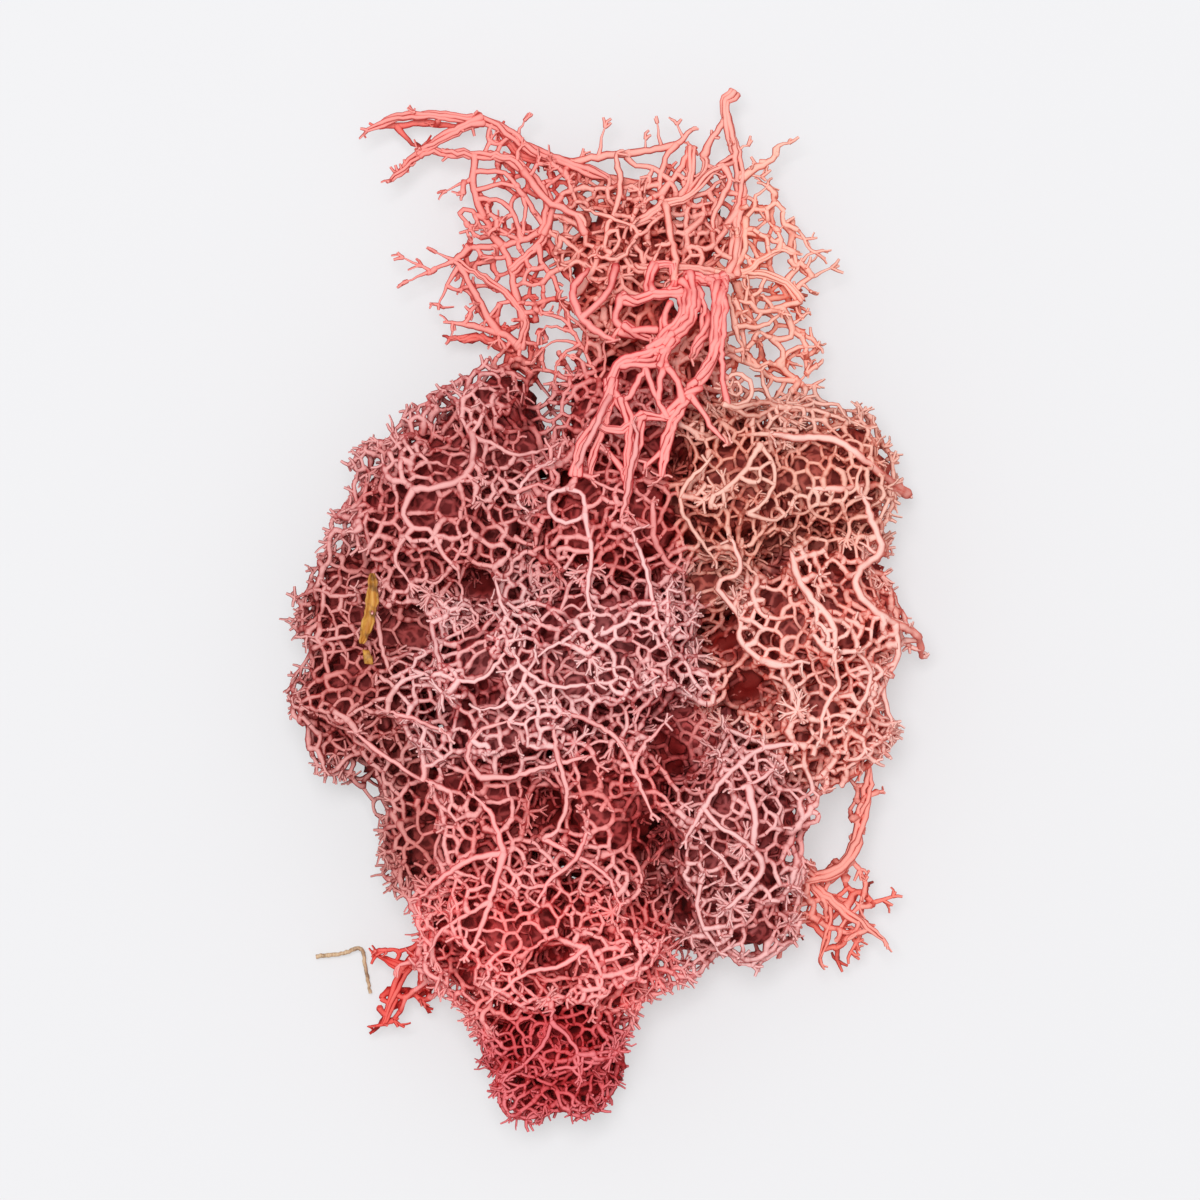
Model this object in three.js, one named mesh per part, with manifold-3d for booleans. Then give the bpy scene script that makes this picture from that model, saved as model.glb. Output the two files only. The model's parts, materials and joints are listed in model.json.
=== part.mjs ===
// A clump of dyed, preserved reindeer moss (a Cladonia lichen), pulled up as one tangle and lying free.
// Millimetres, +Z up. The clump lies in the XY plane, its open fan of stems towards +Y and its crimson head
// towards -Y. The origin is the middle of the small flat spot under the centre head, on which the clump rests.
//
// Each tuft is one solid: thick stems, or a small core, and twigs that fork and tangle as far as the tuft's
// outline. A tuft keeps to the space nearer to its own lobes than to any other tuft's, so that no two tufts
// overlap, and where two tufts meet their tips almost touch. The twigs are larger than life and fewer, but
// cover the clump as the real ones do.
import * as THREE from "three";
import { mergeVertices } from "three/addons/utils/BufferGeometryUtils.js";
import Module from "manifold-3d";

const { clamp, lerp, smoothstep } = THREE.MathUtils;
const wasm = await Module();
wasm.setup();

// ---- Driving sizes, in mm ----
// The outline
const TUFT_GAP = 0.36; // clear space kept between two tufts
const BULGE_HEIGHT = 0.6; // low bulges on the outline
const BULGE_LENGTH = 7.5;

// Cores, and the stubs of old stems that the clump stands on
const CORE_DEPTH = 5.0; // how far a core lies below the outline
const CORE_DETAIL = 0; // 20 faces for each lobe of a core
const SMALLEST_CORE = 1;
const LINK_RADIUS = 1.3; // of the inner bar that joins the lobes of one core
const FOOT_RADIUS = [1.6, 2.0]; // at the core and at the surface

// Twigs and stems
const TWIG_SIDES = 3;
const STEM_SIDES = 5;
const TIP_RADIUS = 0.42;
const TWIG_RADIUS = 0.7; // of a twig that carries one tip
const TWIG_GROWTH = 0.22; // power by which a twig thickens with the twigs it carries
const THICKEST_TWIG = 1.1;

// Where the twigs fork
const SHELL_DEPTH = 2.8; // depth within which a cored tuft's twigs fork and tangle
const FORK_SPACING = 2.5; // between neighbouring forks at the outline
const DEEP_SPACING = 4.2; // and well inside the tuft
const SPACING_DEPTH = 6; // depth at which the deep spacing is reached
const UNDERSIDE_SPACING = 2.0; // by how much they are wider apart at the surface that the clump lies on
const UNDERSIDE_HEIGHT = 9;
const SEAM_SPACING = 5.2; // between the places where the tips of two tufts meet
const SEAM_DEPTH = 4.5; // how far down from the outline such tips reach
const TRIES_PER_MM3 = 4;
const SEAM_TRIES_PER_MM3 = 0.6;

// How the twigs join the forks
const TWIG_REACH = 1.9; // longest twig between two forks, in fork spacings
const SPOKE_COST = 0.62; // of a stem's length from the middle of a core, against a twig's length
const DETOUR = 0.15; // from 0 to 1: how far a fork minds its way to the root, not just to the next fork
const STRAIGHTENING = 0.4; // share by which a fork is drawn in between its two neighbours
const FORK_SET_BACK = 0.2; // share of a twig by which the next fork's side twig leaves early
const SLIVERS = [0.05, 0.04, 0.08, 0.03, 0.1, 0.02, 0.01]; // widths of face to close up, best first
const SEED = 20431;

// ---- The tufts ----
// lobes: [x, y, z, radius] of each round part of the outline that the twig tips reach.
// core: false is a spray of open stems with no core.
// stems: the radius at the root and at the end, and the points that the stem passes, from the root outwards.
const TUFTS = [
  {
    name: "centre_head",
    colour: 0xc98084,
    lobes: [
      [0, 0, 8.6, 9.6],
      [-8, -3.5, 9.4, 9.6],
    ],
  },
  {
    name: "centre_low_head",
    colour: 0xcf7c7a,
    lobes: [
      [-0.5, -13, 8.4, 8.6],
      [-9, -13, 8.2, 8.0],
    ],
  },
  {
    name: "lower_head",
    colour: 0xdc7f7c,
    lobes: [
      [-8.2, -23.4, 7.6, 8.8],
      [-1.0, -24.4, 7.0, 7.8],
    ],
  },
  {
    name: "crimson_head",
    colour: 0xb2323a,
    lobes: [[-4.4, -33.2, 6.0, 7.0]],
  },
  {
    name: "lower_left_head",
    colour: 0xc06c66,
    lobes: [[-13.6, -15.5, 5.8, 6.6]],
  },
  {
    name: "left_head",
    colour: 0xa85c58,
    lobes: [
      [-20, -3.6, 6.2, 7.4],
      [-20, 3.2, 6.0, 6.6],
    ],
  },
  {
    name: "upper_left_head",
    colour: 0xb56c6e,
    lobes: [
      [-13.6, 11.2, 7.2, 9.2],
      [-9.4, 17.6, 6.4, 6.8],
    ],
  },
  {
    name: "upper_centre_head",
    colour: 0xcf7f80,
    lobes: [
      [0.5, 11, 8.0, 8.8],
      [2.0, 18.5, 6.0, 7.2],
    ],
  },
  {
    name: "upper_right_head",
    colour: 0xd69a8a,
    lobes: [
      [10.5, 13.5, 7.6, 8.6],
      [17.6, 13.8, 6.4, 7.8],
    ],
  },
  {
    name: "right_edge_head",
    colour: 0xe08a7c,
    lobes: [
      [17.8, 2.2, 7.0, 8.4],
      [17.4, -6.2, 6.4, 7.4],
      [11.4, -1.6, 6.2, 6.4],
    ],
  },
  {
    name: "right_lobe_head",
    colour: 0xc68a90,
    lobes: [
      [10.2, -14.2, 8.2, 8.0],
      [10.0, -20, 6.8, 7.2],
    ],
  },
  {
    name: "lower_right_spray",
    colour: 0xe8877c,
    core: false,
    lobes: [
      [19.2, -14.5, 5.6, 5.8],
      [19.0, -20.5, 4.4, 4.8],
      [18.8, -24.2, 3.2, 3.6],
    ],
    stems: [
      {
        radius: [0.9, 0.6],
        points: [
          [19.4, -13.2, 5],
          [18.8, -17, 4.6],
          [18.6, -21.5, 3.6],
          [17.8, -25, 2.2],
        ],
      },
      { radius: [0.7, 0.5], points: [[18.3, -19.5, 4], [20.8, -22.4, 3], [23.4, -24.2, 2]] },
      { radius: [0.6, 0.4], points: [[18.2, -21.5, 3.6], [19.6, -23.4, 2.4], [20, -25.4, 1.4]] },
    ],
  },
  {
    name: "lower_left_stalk",
    colour: 0xe0625f,
    core: false,
    lobes: [
      [-17.2, -24.4, 3.8, 4.0],
      [-18.2, -28.8, 2.8, 3.4],
    ],
    stems: [
      {
        radius: [1.0, 0.6],
        points: [
          [-16.6, -22.8, 4.0],
          [-17.3, -25, 3.2],
          [-18.4, -28, 2],
          [-18.9, -31.2, 1],
        ],
      },
      { radius: [0.6, 0.4], points: [[-16.9, -25.4, 3], [-18.6, -26, 3], [-20, -25.8, 3.2]] },
      { radius: [0.5, 0.35], points: [[-18.4, -28, 2], [-17.4, -29.8, 1.4], [-15.8, -30.4, 1]] },
    ],
  },
  {
    name: "pink_stem_bundle",
    colour: 0xf07c7c,
    core: false,
    lobes: [
      [9.2, 30.2, 10.6, 3.4],
      [6.0, 26.2, 12.0, 3.8],
      [2.2, 22.2, 13.6, 3.8],
      [-0.4, 18.6, 14.4, 3.4],
      [7.6, 21.6, 13.2, 3.6],
      [5.4, 17.4, 14.4, 3.2],
    ],
    stems: [
      {
        radius: [1.15, 0.8],
        points: [
          [9.0, 31.0, 10.4],
          [7.4, 28.6, 11.4],
          [4.6, 25.2, 12.6],
          [1.6, 21.4, 14.0],
          [-0.8, 17.4, 14.8],
        ],
      },
      {
        radius: [0.85, 0.55],
        points: [
          [8.4, 29.4, 11.0],
          [8.4, 25.6, 12.2],
          [7.4, 21.8, 13.4],
          [5.2, 16.4, 14.6],
        ],
      },
    ],
  },
  {
    name: "fan_centre_spray",
    colour: 0xf08a7c,
    core: false,
    lobes: [
      [0.6, 34.6, 5.4, 6.4],
      [6.8, 36.2, 5.4, 5.8],
      [2.0, 28.6, 4.8, 5.6],
    ],
    stems: [
      {
        radius: [0.85, 0.5],
        points: [
          [7.2, 31.6, 5.6],
          [9.0, 36.4, 6],
          [9.4, 40.8, 6.2],
          [9.0, 44.4, 5.6],
          [10.2, 47.2, 5],
        ],
      },
      {
        radius: [0.75, 0.4],
        points: [
          [7.2, 31.6, 5.6],
          [5.0, 35.2, 6.4],
          [5.6, 38.8, 6.6],
          [4.4, 41.6, 5.8],
        ],
      },
      {
        radius: [0.8, 0.4],
        points: [
          [7.2, 31.6, 5.6],
          [3.2, 32.2, 6.4],
          [-0.4, 35.6, 6.4],
          [-1.6, 38.4, 5.4],
        ],
      },
      { radius: [0.7, 0.4], points: [[7.2, 31.6, 5.6], [3.6, 29.8, 5.4], [0.6, 27.4, 5]] },
    ],
  },
  {
    name: "fan_right_spray",
    colour: 0xec9a86,
    core: false,
    lobes: [
      [13.4, 34.0, 5.0, 5.4],
      [12.8, 27.0, 4.8, 5.8],
    ],
    stems: [
      {
        radius: [0.8, 0.4],
        points: [
          [12.4, 29.4, 5.4],
          [13.4, 33.2, 5.4],
          [12.8, 36.6, 5],
          [14, 40, 4.4],
        ],
      },
      { radius: [0.7, 0.4], points: [[13, 31, 5.4], [15.8, 32.4, 5], [18.2, 31.8, 4.2]] },
      { radius: [0.7, 0.4], points: [[12.4, 29.4, 5.4], [14.2, 26.6, 5.8], [16.8, 25, 5]] },
    ],
  },
  {
    name: "fan_left_spray",
    colour: 0xea7a76,
    core: false,
    lobes: [
      [-7.2, 38.8, 4.8, 5.4],
      [-8.4, 31.8, 4.8, 5.4],
      [-5.6, 26.6, 5.0, 5.0],
    ],
    stems: [
      {
        radius: [0.95, 0.5],
        points: [
          [-5.4, 26.6, 5.4],
          [-6.4, 31.6, 6.2],
          [-6.6, 36.4, 6.4],
          [-8.6, 41.8, 6.2],
          [-13.4, 44.6, 5],
          [-18.6, 44.2, 3.4],
        ],
      },
      { radius: [0.7, 0.4], points: [[-7.2, 39.2, 6.4], [-4.6, 41.6, 6], [-4.2, 43, 5.4]] },
      { radius: [0.6, 0.4], points: [[-9.4, 42.4, 6], [-13.6, 41.2, 4.6], [-17.6, 39.6, 3]] },
      {
        radius: [0.7, 0.4],
        points: [
          [-6.3, 31.2, 6.1],
          [-10.4, 33.4, 5.2],
          [-13.6, 32.6, 4],
          [-16.8, 32.4, 3],
        ],
      },
      { radius: [0.7, 0.4], points: [[-5.4, 26.6, 5.4], [-9, 26.8, 4.6], [-12.6, 27, 3.2]] },
    ],
  },
];

const LEAF_SCRAP = {
  length: 6.9,
  width: 1.3,
  thickness: 0.34,
  curl: 0.3,
  droop: 0.5,
  place: [-20.0, 3.5, 13.2],
  turn: 0.13,
};

const STRAW = {
  radius: [0.32, 0.24],
  points: [
    [-24.6, -26.1, 0.6],
    [-22.4, -25.8, 0.9],
    [-20.8, -25.4, 1.0],
    [-20.4, -27.0, 0.8],
    [-20.0, -29.2, 0.5],
  ],
};

// ---- Seeded random numbers ----
let state = SEED;
function random() {
  state = (state + 0x6d2b79f5) | 0;
  let t = Math.imul(state ^ (state >>> 15), 1 | state);
  t = (t + Math.imul(t ^ (t >>> 7), 61 | t)) ^ t;
  return ((t ^ (t >>> 14)) >>> 0) / 4294967296;
}

const vector = ([x, y, z]) => new THREE.Vector3(x, y, z);

// ---- The outline of a tuft ----
// Low bulges all over the clump, from three crossed waves.
function bulge({ x, y, z }) {
  const k = (2 * Math.PI) / BULGE_LENGTH;
  const waves = Math.sin(k * (x + 0.4 * z)) + Math.sin(k * (y - 0.3 * x)) + Math.sin(k * (z + 0.5 * y));
  return (BULGE_HEIGHT * waves) / 3;
}

// Signed distance from a tuft's outline, negative inside.
function outline(tuft, p) {
  const fromLobes = tuft.lobes.map(([x, y, z, radius]) => Math.hypot(p.x - x, p.y - y, p.z - z) - radius);
  return Math.min(...fromLobes) - bulge(p);
}

// How far a point lies inside its tuft's share of the space.
// Points of two tufts that both have room h lie at least 2 h apart.
function room(tuft, p) {
  const others = TUFTS.filter((other) => other !== tuft);
  return (Math.min(...others.map((other) => outline(other, p))) - outline(tuft, p)) / 2;
}

// Direction and steepness in which a field of numbers rises.
function gradient(field, p) {
  const step = 0.05;
  const slopes = ["x", "y", "z"].map((axis) => {
    const ahead = p.clone();
    const behind = p.clone();
    ahead[axis] += step;
    behind[axis] -= step;
    return (field(ahead) - field(behind)) / (2 * step);
  });
  return vector(slopes);
}

// Signed distance from a tuft's core.
function coreDistance(tuft, p) {
  return Math.max(outline(tuft, p) + CORE_DEPTH, TUFT_GAP / 2 - room(tuft, p));
}

function boxOf(lobes) {
  const box = new THREE.Box3();
  for (const [x, y, z, r] of lobes) {
    box.expandByPoint(vector([x - r, y - r, z - r]));
    box.expandByPoint(vector([x + r, y + r, z + r]));
  }
  return box.expandByScalar(BULGE_HEIGHT);
}

// ---- Solids ----
function solid(geometry) {
  geometry.deleteAttribute("normal");
  geometry.deleteAttribute("uv");
  const merged = mergeVertices(geometry, 1e-4);
  const mesh = new wasm.Mesh({
    numProp: 3,
    vertProperties: new Float32Array(merged.attributes.position.array),
    triVerts: new Uint32Array(merged.index.array),
  });
  return new wasm.Manifold(mesh);
}

function geometryOf(manifold) {
  const mesh = manifold.getMesh();
  return new THREE.BufferGeometry()
    .setAttribute("position", new THREE.BufferAttribute(mesh.vertProperties, 3))
    .setIndex(new THREE.BufferAttribute(mesh.triVerts, 1));
}

// Whether each edge still has just two faces when corners that all but touch are made one.
function staysClosed(manifold) {
  const corners = mergeVertices(geometryOf(manifold), 1e-3).index.array;
  const faces = new Map();
  for (let i = 0; i < corners.length; i += 3) {
    const [a, b, c] = corners.slice(i, i + 3);
    if (a === b || b === c || c === a) continue;
    for (const edge of [[a, b], [b, c], [c, a]]) {
      const key = edge.sort((p, q) => p - q).join();
      faces.set(key, (faces.get(key) ?? 0) + 1);
    }
  }
  return [...faces.values()].every((count) => count === 2);
}

// A tapered bar with one ring of corners at each point: a cylinder bent so that its rings follow the points.
function bentBar(points, rootRadius, tipRadius, sides) {
  const last = points.length - 1;
  const bar = new THREE.CylinderGeometry(tipRadius, rootRadius, 1, sides, last);
  const across = new THREE.Vector3(random() - 0.5, random() - 0.5, random() - 0.5);
  const frames = points.map((point, i) => {
    const ahead = points[Math.min(i + 1, last)];
    const behind = points[Math.max(i - 1, 0)];
    const along = ahead.clone().sub(behind).normalize();
    across.addScaledVector(along, -across.dot(along)).normalize();
    return { point, across: across.clone(), side: along.clone().cross(across) };
  });
  const position = bar.attributes.position;
  const at = new THREE.Vector3();
  for (let i = 0; i < position.count; i++) {
    const { point, across: u, side: v } = frames[Math.round((position.getY(i) + 0.5) * last)];
    at.copy(point).addScaledVector(u, position.getX(i)).addScaledVector(v, -position.getZ(i));
    position.setXYZ(i, at.x, at.y, at.z);
  }
  return solid(bar);
}

// One lobe of a core: a faceted ball whose corners are drawn in or out to the core's surface.
function coreLobe(tuft, centre, radius) {
  const ball = new THREE.IcosahedronGeometry(1, CORE_DETAIL);
  const position = ball.attributes.position;
  const ray = new THREE.Vector3();
  const at = new THREE.Vector3();
  for (let i = 0; i < position.count; i++) {
    ray.fromBufferAttribute(position, i).normalize();
    let near = SMALLEST_CORE;
    let far = radius;
    for (let halving = 0; halving < 24; halving++) {
      const middle = (near + far) / 2;
      at.copy(centre).addScaledVector(ray, middle);
      if (coreDistance(tuft, at) < 0) near = middle;
      else far = middle;
    }
    at.copy(centre).addScaledVector(ray, near);
    position.setXYZ(i, at.x, at.y, at.z);
  }
  return solid(ball);
}

// ---- Where the twigs fork and end ----
// How far apart forks lie: closest near the outline, and wider apart deep inside and underneath.
function spacingAt(p, depth) {
  const within = lerp(FORK_SPACING, DEEP_SPACING, smoothstep(depth, 0, SPACING_DEPTH));
  return within * lerp(UNDERSIDE_SPACING, 1, smoothstep(p.z, 0, UNDERSIDE_HEIGHT));
}

function randomIn(box) {
  const share = new THREE.Vector3(random(), random(), random());
  return share.multiply(box.getSize(new THREE.Vector3())).add(box.min);
}

function volumeOf(box) {
  const size = box.getSize(new THREE.Vector3());
  return size.x * size.y * size.z;
}

// The places all through a tuft where its twigs fork or end, clear of the points that are taken.
function forkPlaces(tuft, taken) {
  const box = boxOf(tuft.lobes);
  const deepest = tuft.core === false ? Infinity : SHELL_DEPTH;
  const kept = [];
  for (let i = 0; i < volumeOf(box) * TRIES_PER_MM3; i++) {
    const p = randomIn(box);
    const depth = -outline(tuft, p);
    if (depth < 0 || depth > deepest || p.z < THICKEST_TWIG) continue;
    const spacing = spacingAt(p, depth);
    if (kept.some((q) => q.distanceTo(p) < spacing)) continue;
    if (taken.some((q) => q.distanceTo(p) < 0.6 * spacing)) continue;
    if (room(tuft, p) < TUFT_GAP / 2 + 0.6 * TWIG_RADIUS) continue;
    kept.push(p);
  }
  return kept;
}

// The places along the seams, near the clump's surface, where a tip of one tuft meets a tip of the next:
// a map from each tuft to its tips.
function seamTips() {
  const box = boxOf(TUFTS.flatMap((tuft) => tuft.lobes));
  const reach = TUFT_GAP / 2 + TIP_RADIUS;
  const tips = new Map(TUFTS.map((tuft) => [tuft, []]));
  const kept = [];
  for (let i = 0; i < volumeOf(box) * SEAM_TRIES_PER_MM3; i++) {
    const p = randomIn(box);
    const distances = TUFTS.map((tuft) => ({ tuft, at: outline(tuft, p) }));
    const [one, two, third] = distances.sort((a, b) => a.at - b.at);
    const nearSeam = one.at > -SEAM_DEPTH && one.at < 0 && two.at < 1 && two.at - one.at < 1;
    if (!nearSeam || third.at - one.at < 2.5) continue;
    const into = gradient((q) => outline(two.tuft, q) - outline(one.tuft, q), p);
    const seam = p.clone().addScaledVector(into, (one.at - two.at) / into.lengthSq());
    if (seam.z < THICKEST_TWIG || outline(one.tuft, seam) > -0.2) continue;
    if (kept.some((q) => q.distanceTo(seam) < SEAM_SPACING)) continue;
    kept.push(seam);
    into.normalize();
    tips.get(one.tuft).push(seam.clone().addScaledVector(into, reach));
    tips.get(two.tuft).push(seam.clone().addScaledVector(into, -reach));
  }
  return tips;
}

// ---- The tree of twigs ----
// A twig may run between two places if it stays in its tuft's own space and near its outline.
function twigFits(tuft, a, b, endRadius) {
  return [0.25, 0.5, 0.75].every((share) => {
    const p = a.clone().lerp(b, share);
    const radius = lerp(TWIG_RADIUS, endRadius, share);
    return outline(tuft, p) < 0.5 && room(tuft, p) > TUFT_GAP / 2 + 0.7 * radius;
  });
}

// Joins each fork and tip to the cheapest fork or root that is joined already, one after the other.
// Returns the points, roots first, the parent of each, how many points it carries, and the order of joining.
function growTree(tuft, roots, forks, tips) {
  const points = [...roots.map((root) => root.point), ...forks, ...tips];
  const isRoot = (i) => i < roots.length;
  const isTip = (i) => i >= roots.length + forks.length;
  const parent = points.map(() => -1);
  const cost = points.map((_, i) => (isRoot(i) ? 0 : Infinity));
  const way = points.map(() => 0);
  const open = new Set(points.keys());
  const order = [];
  while (open.size) {
    let at = -1;
    for (const i of open) if (cost[i] < (cost[at] ?? Infinity)) at = i;
    if (at < 0) break;
    open.delete(at);
    if (!isRoot(at)) order.push(at);
    if (isTip(at)) continue;
    const isSpoke = isRoot(at) && tuft.core !== false;
    const reach = isRoot(at) ? roots[at].reach : FORK_SPACING * TWIG_REACH;
    for (const i of open) {
      if (isRoot(i)) continue;
      const length = points[i].distanceTo(points[at]);
      const price = isSpoke ? SPOKE_COST * length : DETOUR * way[at] + length;
      if (length > reach || price >= cost[i]) continue;
      if (!twigFits(tuft, points[at], points[i], isTip(i) ? TIP_RADIUS : TWIG_RADIUS)) continue;
      cost[i] = price;
      way[i] = isSpoke ? 0 : way[at] + length;
      parent[i] = at;
    }
  }
  const carried = points.map(() => 1);
  for (const i of order.toReversed()) carried[parent[i]] += carried[i];
  return { points, parent, carried, order };
}

// The tree as bars. Each bar follows the child that carries most, and every other child starts its own bar.
function treeBars(tuft, { points, parent, carried, order }, rootCount) {
  const children = points.map(() => []);
  for (const i of order) children[parent[i]].push(i);
  for (const list of children) list.sort((a, b) => carried[b] - carried[a]);
  for (const i of order) {
    if (parent[i] < rootCount || !children[i].length) continue;
    const between = points[parent[i]].clone().lerp(points[children[i][0]], 0.5);
    points[i].lerp(between, STRAIGHTENING);
  }
  const bars = [];
  for (const start of order) {
    const from = parent[start];
    const goesOn = from >= rootCount && children[from][0] === start;
    if (goesOn) continue;
    const path = [points[from].clone()];
    if (from >= rootCount) path[0].lerp(points[parent[from]], FORK_SET_BACK);
    for (let i = start; i !== undefined; i = children[i][0]) path.push(points[i]);
    const free = Math.min(...path.slice(0, -1).map((p) => room(tuft, p))) - TUFT_GAP / 2;
    const thickest = Math.min(THICKEST_TWIG, free);
    const radius = clamp(TWIG_RADIUS * carried[start] ** TWIG_GROWTH, 0, thickest);
    bars.push(bentBar(path, radius, TIP_RADIUS, TWIG_SIDES));
  }
  return bars;
}

// ---- One tuft ----
// The pieces inside a cored tuft, and the middles of its lobes, from which its twigs grow.
function coreOf(tuft) {
  const centres = tuft.lobes.map((lobe) => vector(lobe));
  const pieces = centres.map((centre, i) => coreLobe(tuft, centre, tuft.lobes[i][3]));
  for (const [i, centre] of centres.entries()) {
    if (i > 0) pieces.push(bentBar([centres[i - 1], centre], LINK_RADIUS, LINK_RADIUS, STEM_SIDES));
    const ground = centre.clone().setZ(0);
    if (room(tuft, ground) < FOOT_RADIUS[1] + TUFT_GAP / 2) continue;
    pieces.push(bentBar([centre, ground.setZ(-1)], ...FOOT_RADIUS, STEM_SIDES));
  }
  const roots = centres.map((point, i) => ({ point, reach: tuft.lobes[i][3] + BULGE_HEIGHT }));
  return { pieces, roots };
}

// The open stems of a tuft, and the points along them from which its twigs grow.
function stemsOf(tuft) {
  const pieces = [];
  const roots = [];
  for (const { radius, points } of tuft.stems) {
    const curve = new THREE.CatmullRomCurve3(points.map(vector), false, "centripetal");
    const path = curve.getSpacedPoints(Math.round(curve.getLength() / FORK_SPACING));
    pieces.push(bentBar(path, ...radius, STEM_SIDES));
    for (const point of path.slice(1)) roots.push({ point, reach: FORK_SPACING * TWIG_REACH });
  }
  return { pieces, roots };
}

function tuftSolid(tuft, tips) {
  const { pieces, roots } = tuft.core === false ? stemsOf(tuft) : coreOf(tuft);
  const forks = forkPlaces(tuft, roots.map((root) => root.point));
  const tree = growTree(tuft, roots, forks, tips);
  const twigs = treeBars(tuft, tree, roots.length);
  const joined = wasm.Manifold.union([...pieces, ...twigs]).trimByPlane([0, 0, 1], 0).asOriginal();
  return SLIVERS.map((width) => joined.simplify(width)).find(staysClosed);
}

// ---- Scraps caught in the clump ----
// A thin strip of dry leaf: a box that narrows towards both ends, its edges curled up and its ends drooping.
function leafScrap() {
  const { length, width, thickness, curl, droop, place, turn } = LEAF_SCRAP;
  const strip = new THREE.BoxGeometry(width, length, thickness, 2, 8, 1);
  const position = strip.attributes.position;
  for (let i = 0; i < position.count; i++) {
    const along = (2 * position.getY(i)) / length;
    const across = (2 * position.getX(i)) / width;
    const narrowed = 1 - 0.75 * along ** 4;
    position.setX(i, position.getX(i) * narrowed + 0.25 * Math.sin(2.4 * along));
    position.setZ(i, position.getZ(i) + curl * across ** 2 * narrowed - droop * along ** 2);
  }
  strip.rotateZ(turn);
  strip.translate(...place);
  return solid(strip);
}

// ---- The clump ----
const clump = new THREE.Group();

function add(name, colour, roughness, whole) {
  const material = new THREE.MeshStandardMaterial({ color: colour, roughness, metalness: 0 });
  const mesh = new THREE.Mesh(geometryOf(whole), material);
  mesh.name = name;
  clump.add(mesh);
}

const tips = seamTips();
for (const tuft of TUFTS) add(tuft.name, tuft.colour, 0.9, tuftSolid(tuft, tips.get(tuft)));
add("ochre_leaf_scrap", 0xc98d3f, 0.75, leafScrap());
add("dry_straw", 0xb39a72, 0.7, bentBar(STRAW.points.map(vector), ...STRAW.radius, STEM_SIDES));

export default clump;
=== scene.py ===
"""Looks of a clump of dyed, preserved reindeer moss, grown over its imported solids.

The real clump is one springy net. Thin twigs fork, bend and grow back into one another around rounded
holes, thick stems run under and over them, and every outer twig ends in a small star of blunt tips. The
net is grown once for the whole clump, from fork places spread through the outlines of the tufts. Each
tuft's share of it is one piece, which stands for that tuft's solid. Sizes are in millimetres until a
mesh is made, and the piece is then in metres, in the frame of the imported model.
"""

import heapq
import json
import logging
import math
from collections.abc import Iterable, Sequence
from dataclasses import dataclass, field
from enum import Enum
from functools import cached_property
from itertools import product

import bmesh
import bpy
import numpy as np
from bpy.types import ID, Material, Mesh, Node, NodeSocket, NodeTree, Object
from mathutils import Matrix, Vector, noise
from mathutils.kdtree import KDTree

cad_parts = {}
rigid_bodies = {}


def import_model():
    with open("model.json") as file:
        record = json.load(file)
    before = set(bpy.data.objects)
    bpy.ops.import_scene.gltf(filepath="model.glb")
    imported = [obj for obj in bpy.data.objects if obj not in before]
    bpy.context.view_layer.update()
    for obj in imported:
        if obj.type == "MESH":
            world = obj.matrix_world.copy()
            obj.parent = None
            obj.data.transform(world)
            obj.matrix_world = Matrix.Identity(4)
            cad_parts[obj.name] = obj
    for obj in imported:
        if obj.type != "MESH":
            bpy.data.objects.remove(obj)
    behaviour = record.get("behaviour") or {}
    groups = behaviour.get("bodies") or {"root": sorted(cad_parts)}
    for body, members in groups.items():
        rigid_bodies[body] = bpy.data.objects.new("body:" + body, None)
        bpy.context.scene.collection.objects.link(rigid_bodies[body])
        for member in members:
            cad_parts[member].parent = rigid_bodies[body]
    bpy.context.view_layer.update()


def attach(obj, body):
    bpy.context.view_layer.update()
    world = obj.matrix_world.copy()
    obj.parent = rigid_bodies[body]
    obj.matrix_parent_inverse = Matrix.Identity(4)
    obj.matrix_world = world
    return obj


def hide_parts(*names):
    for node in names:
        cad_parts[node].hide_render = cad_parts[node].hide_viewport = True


LOG = logging.getLogger("reindeer_moss")
MM = 0.001
SEED = 20431
RADIUS_UNITS = 100  # Units to the mm in the radii of the stems.
PLACE_UNITS = 10  # Units to the mm in their places.
FULL_TURN = 6.28  # Phases are drawn up to this angle, in radians.
OUTSIDE = -1e9  # Depth of a point in a tuft that it has nothing to do with.
CURVE_STEPS = 12  # Points between two places that a smooth curve passes.

Span = tuple[float, float]
Point = tuple[float, float, float]
Lobe = tuple[float, float, float, float]
Colour = tuple[float, float, float, float]
Array = np.ndarray
Pair = tuple[Array, Array]
Rng = np.random.Generator
Values = float | Array
StemRows = dict[str, tuple[tuple[int, ...], ...]]


def linear(colour: str) -> Colour:
    """Turn an sRGB hex colour into linear light.

    Args:
        colour: Colour such as "#c98084".

    Returns:
        Red, green, blue and an alpha of 1.
    """
    parts = [int(colour[i : i + 2], 16) / 255 for i in (1, 3, 5)]
    red, green, blue = (c / 12.92 if c <= 0.04045 else ((c + 0.055) / 1.055) ** 2.4 for c in parts)
    return red, green, blue, 1.0


def smoothstep(low: float, high: float, values: Array) -> Array:
    """Ease values from 0 at low to 1 at high."""
    t = np.clip((values - low) / (high - low), 0, 1)
    return t * t * (3 - 2 * t)


def unit(vectors: Array) -> Array:
    """Scale each row to length 1."""
    return vectors / np.maximum(np.linalg.norm(vectors, axis=-1, keepdims=True), 1e-9)


def measure(line: Array) -> Array:
    """Give the length of a line up to each of its points."""
    return np.concatenate([[0], np.cumsum(np.linalg.norm(np.diff(line, axis=0), axis=1))])


def pick_apart(p: Array, numbers: Iterable[int], room: float) -> list[int]:
    """Pick those of some points that keep room from each other, the first ones first."""
    chosen: list[int] = []
    for i in numbers:
        if all(math.dist(p[i], p[j]) > room for j in chosen):
            chosen.append(int(i))
    return chosen


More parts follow.
